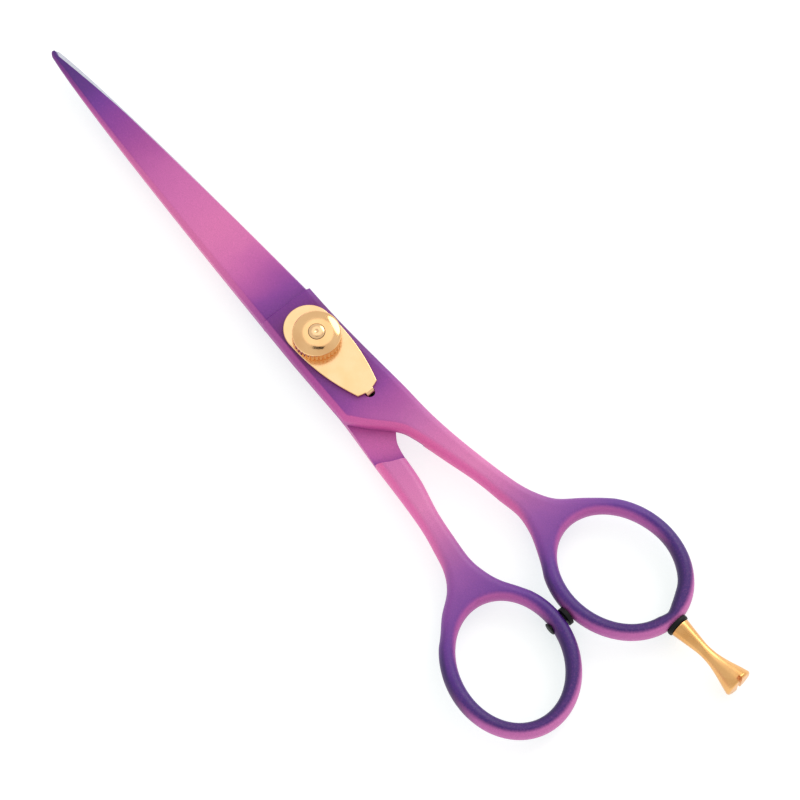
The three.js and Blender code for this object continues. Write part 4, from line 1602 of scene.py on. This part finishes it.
@dataclass
class Studio:
    """Pale floor, soft lights and the camera; all sizes and places in millimetres."""

    target: tuple[float, float, float] = (-17.110, -5.630, 0.0)
    azimuth: float = 229.83
    elevation: float = 69.0
    distance: float = 700.0
    lens: float = 169.5
    sensor: float = 36.0
    far_limit: float = 10000.0
    floor_half: tuple[float, float] = (900.0, 900.0)
    floor_drop: float = 0.02
    card_half: tuple[float, float] = (95.0, 42.0)
    card_centre: tuple[float, float, float] = (-40.0, 10.0, 640.0)
    card_turn: float = 40.0
    sky: float = 0.8

    def back(self) -> Array:
        """Unit direction from the target to the camera."""
        a, e = math.radians(self.azimuth), math.radians(self.elevation)
        return np.array([math.sin(a) * math.cos(e), -math.cos(a) * math.cos(e), math.sin(e)])

    def sheet(self, name: str, half: Sequence[float], centre: Sequence[float], turn: float,
              finish: str, sockets: dict) -> bpy.types.Object:
        """Level staged rectangle that faces up.

        Args:
            name: its name.
            half: half its length and half its width.
            centre: its middle.
            turn: how far it is turned about Z, in degrees.
            finish: its material's name.
            sockets: the shader's values.

        Returns:
            The sheet.
        """
        a = math.radians(turn)
        legs = np.array([[math.cos(a), math.sin(a), 0.0], [-math.sin(a), math.cos(a), 0.0]])
        signs = np.array([[-1, -1], [1, -1], [1, 1], [-1, 1]])
        obj = link_mesh(name, (signs * half) @ legs + centre, [[0, 1, 2, 3]])
        material, _, shader = new_material(finish)
        feed(shader, sockets)
        obj.data.materials.append(material)
        return obj

    def sheets(self) -> None:
        """Floor lit from below as a light table is, and a card that only reflections see.

        The floor's own colour and its glow add up to white; the split between them keeps the
        shadow grey where pink light comes off the lacquer. The card is the dark spot in the
        knob's dome.
        """
        self.sheet("floor", self.floor_half, (0.0, 0.0, -self.floor_drop), 0.0, "pale_paper", {
            "Base Color": linear("#C0B3B7"), "Roughness": 0.9,
            "Emission Color": linear("#CBD7D3"), "Emission Strength": 1.0})
        card = self.sheet("card", self.card_half, self.card_centre, self.card_turn, "black_card",
                          {"Base Color": linear("#060606")})
        card.visible_camera = card.visible_diffuse = card.visible_shadow = False

    def aim(self, name: str, data: bpy.types.ID, direction: Sequence[float],
            away: float) -> bpy.types.Object:
        """Put a light or the camera at a distance, looking at the target.

        Args:
            name: its name.
            data: the light's or camera's data.
            direction: from the target to it.
            away: how far.

        Returns:
            The object.
        """
        obj = bpy.data.objects.new(name, data)
        bpy.context.scene.collection.objects.link(obj)
        ray = Vector(direction).normalized()
        obj.location = (Vector(self.target) + ray * away) * MM
        obj.rotation_euler = ray.to_track_quat("Z", "Y").to_euler()
        return obj

    def lights(self) -> None:
        """Round soft key in front, a weak panel overhead and white surroundings."""
        for name, direction, power in (("key", (0.15, -0.9, 0.65), 1.2),
                                       ("panel", (0.27, -0.23, 0.93), 0.22)):
            light = bpy.data.lights.new(name, "AREA")
            light.shape, light.size, light.energy = "DISK", 420.0 * MM, power
            self.aim(name, light, direction, 600.0)
        world = bpy.data.worlds.new("surroundings")
        world.use_nodes = True
        feed(world.node_tree.nodes["Background"], {"Color": linear("#FFFFFF"), "Strength": self.sky})
        bpy.context.scene.world = world

    def camera(self) -> None:
        """Long lens, looking down at the scissors."""
        data = bpy.data.cameras.new("camera")
        data.lens, data.sensor_width, data.clip_end = self.lens, self.sensor, self.far_limit * MM
        bpy.context.scene.camera = self.aim("camera", data, self.back(), self.distance)

    def build(self) -> None:
        """Floor, lights and camera, with colours shown as they are."""
        bpy.context.scene.view_settings.view_transform = "Standard"
        self.sheets()
        self.lights()
        self.camera()


@dataclass(frozen=True)
class Piece:
    """A finished piece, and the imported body, node and slot that it stands for.

    A finish of None leaves the piece the materials that it has.
    """

    obj: bpy.types.Object
    finish: bpy.types.Material | None
    body: str
    node: str
    slot: Slot

    def tie(self) -> None:
        """Dress the piece, tie it to its body and node, and report it."""
        mesh = self.obj.data
        if self.finish is not None:
            mesh.materials.clear()
            mesh.materials.append(self.finish)
            mesh.polygons.foreach_set("material_index", [0] * len(mesh.polygons))
        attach(self.obj, self.body)
        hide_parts(self.node)
        LOG.info("%s: %d faces, rides on %s", self.obj.name, len(mesh.polygons), self.body)


def main() -> None:
    """Build every piece in order, then the floor, the lights and the camera."""
    pivot, rest, bumper = Pivot(), FingerRest(), Bumper()
    levels, sleeve = pivot.levels, pivot.bore + pivot.bushing_wall
    hole_x, hole_y = pivot.tab_hole
    upper = Half("upper_half_forged", "upper", HalfPlan(FINGER_RING), turned_over=False,
                 hole_shade_spots=[(hole_x, hole_y, pivot.tab_hole_radius)]).build([
        bar_tool(pivot.bore, 2.0, 9.0),
        bar_tool(pivot.tab_hole_radius, levels.upper_face - 1.7, 9.0, Spot(hole_x, hole_y)),
        *rest.tools()])
    lower = Half("lower_half_forged", "lower", HalfPlan(THUMB_RING, trim=0.5), turned_over=True).build([
        bar_tool(sleeve + pivot.clearance, 0.0, 5.0),
        bar_tool(pivot.blade_washer_radius + pivot.clearance, levels.blade_washer[0] - 0.05, 5.0),
        bumper.hole()])
    polished, mirror, satin = (kind().build() for kind in (GoldPlate, BuffedGoldPlate, SatinGoldPlate))
    nylon, rubber = Nylon().build(), BlackRubber().build()
    for piece in (
            Piece(upper, None, "upper", "upper_half", Slot.SPRAYED),
            Piece(lower, None, "lower", "lower_half", Slot.SPRAYED),
            Piece(pivot.knob(), mirror, "knob", "tension_knob", Slot.GOLD),
            Piece(pivot.plate(), polished, "upper", "tension_plate", Slot.GOLD),
            Piece(pivot.screw(), polished, "upper", "pivot_screw", Slot.GOLD),
            Piece(pivot.tube("head_washer_cut", pivot.head_washer_radius, *levels.head_washer, 0.04),
                  nylon, "upper", "head_washer", Slot.NYLON),
            Piece(pivot.tube("pivot_bushing_turned", sleeve, levels.lower_face, pivot.bushing_top,
                             0.1), nylon, "lower", "pivot_bushing", Slot.NYLON),
            Piece(pivot.tube("blade_washer_cut", pivot.blade_washer_radius, *levels.blade_washer,
                             0.08), nylon, "lower", "blade_washer", Slot.NYLON),
            Piece(rest.rest(), satin, "rest", "finger_rest", Slot.GOLD),
            Piece(rest.gasket(), rubber, "rest", "finger_rest_washer", Slot.RUBBER),
            Piece(bumper.build(), rubber, "lower", "bumper", Slot.RUBBER)):
        piece.tie()

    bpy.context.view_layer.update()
    Studio().build()


if __name__ == "__main__":
    logging.basicConfig(level=logging.INFO)
    main()
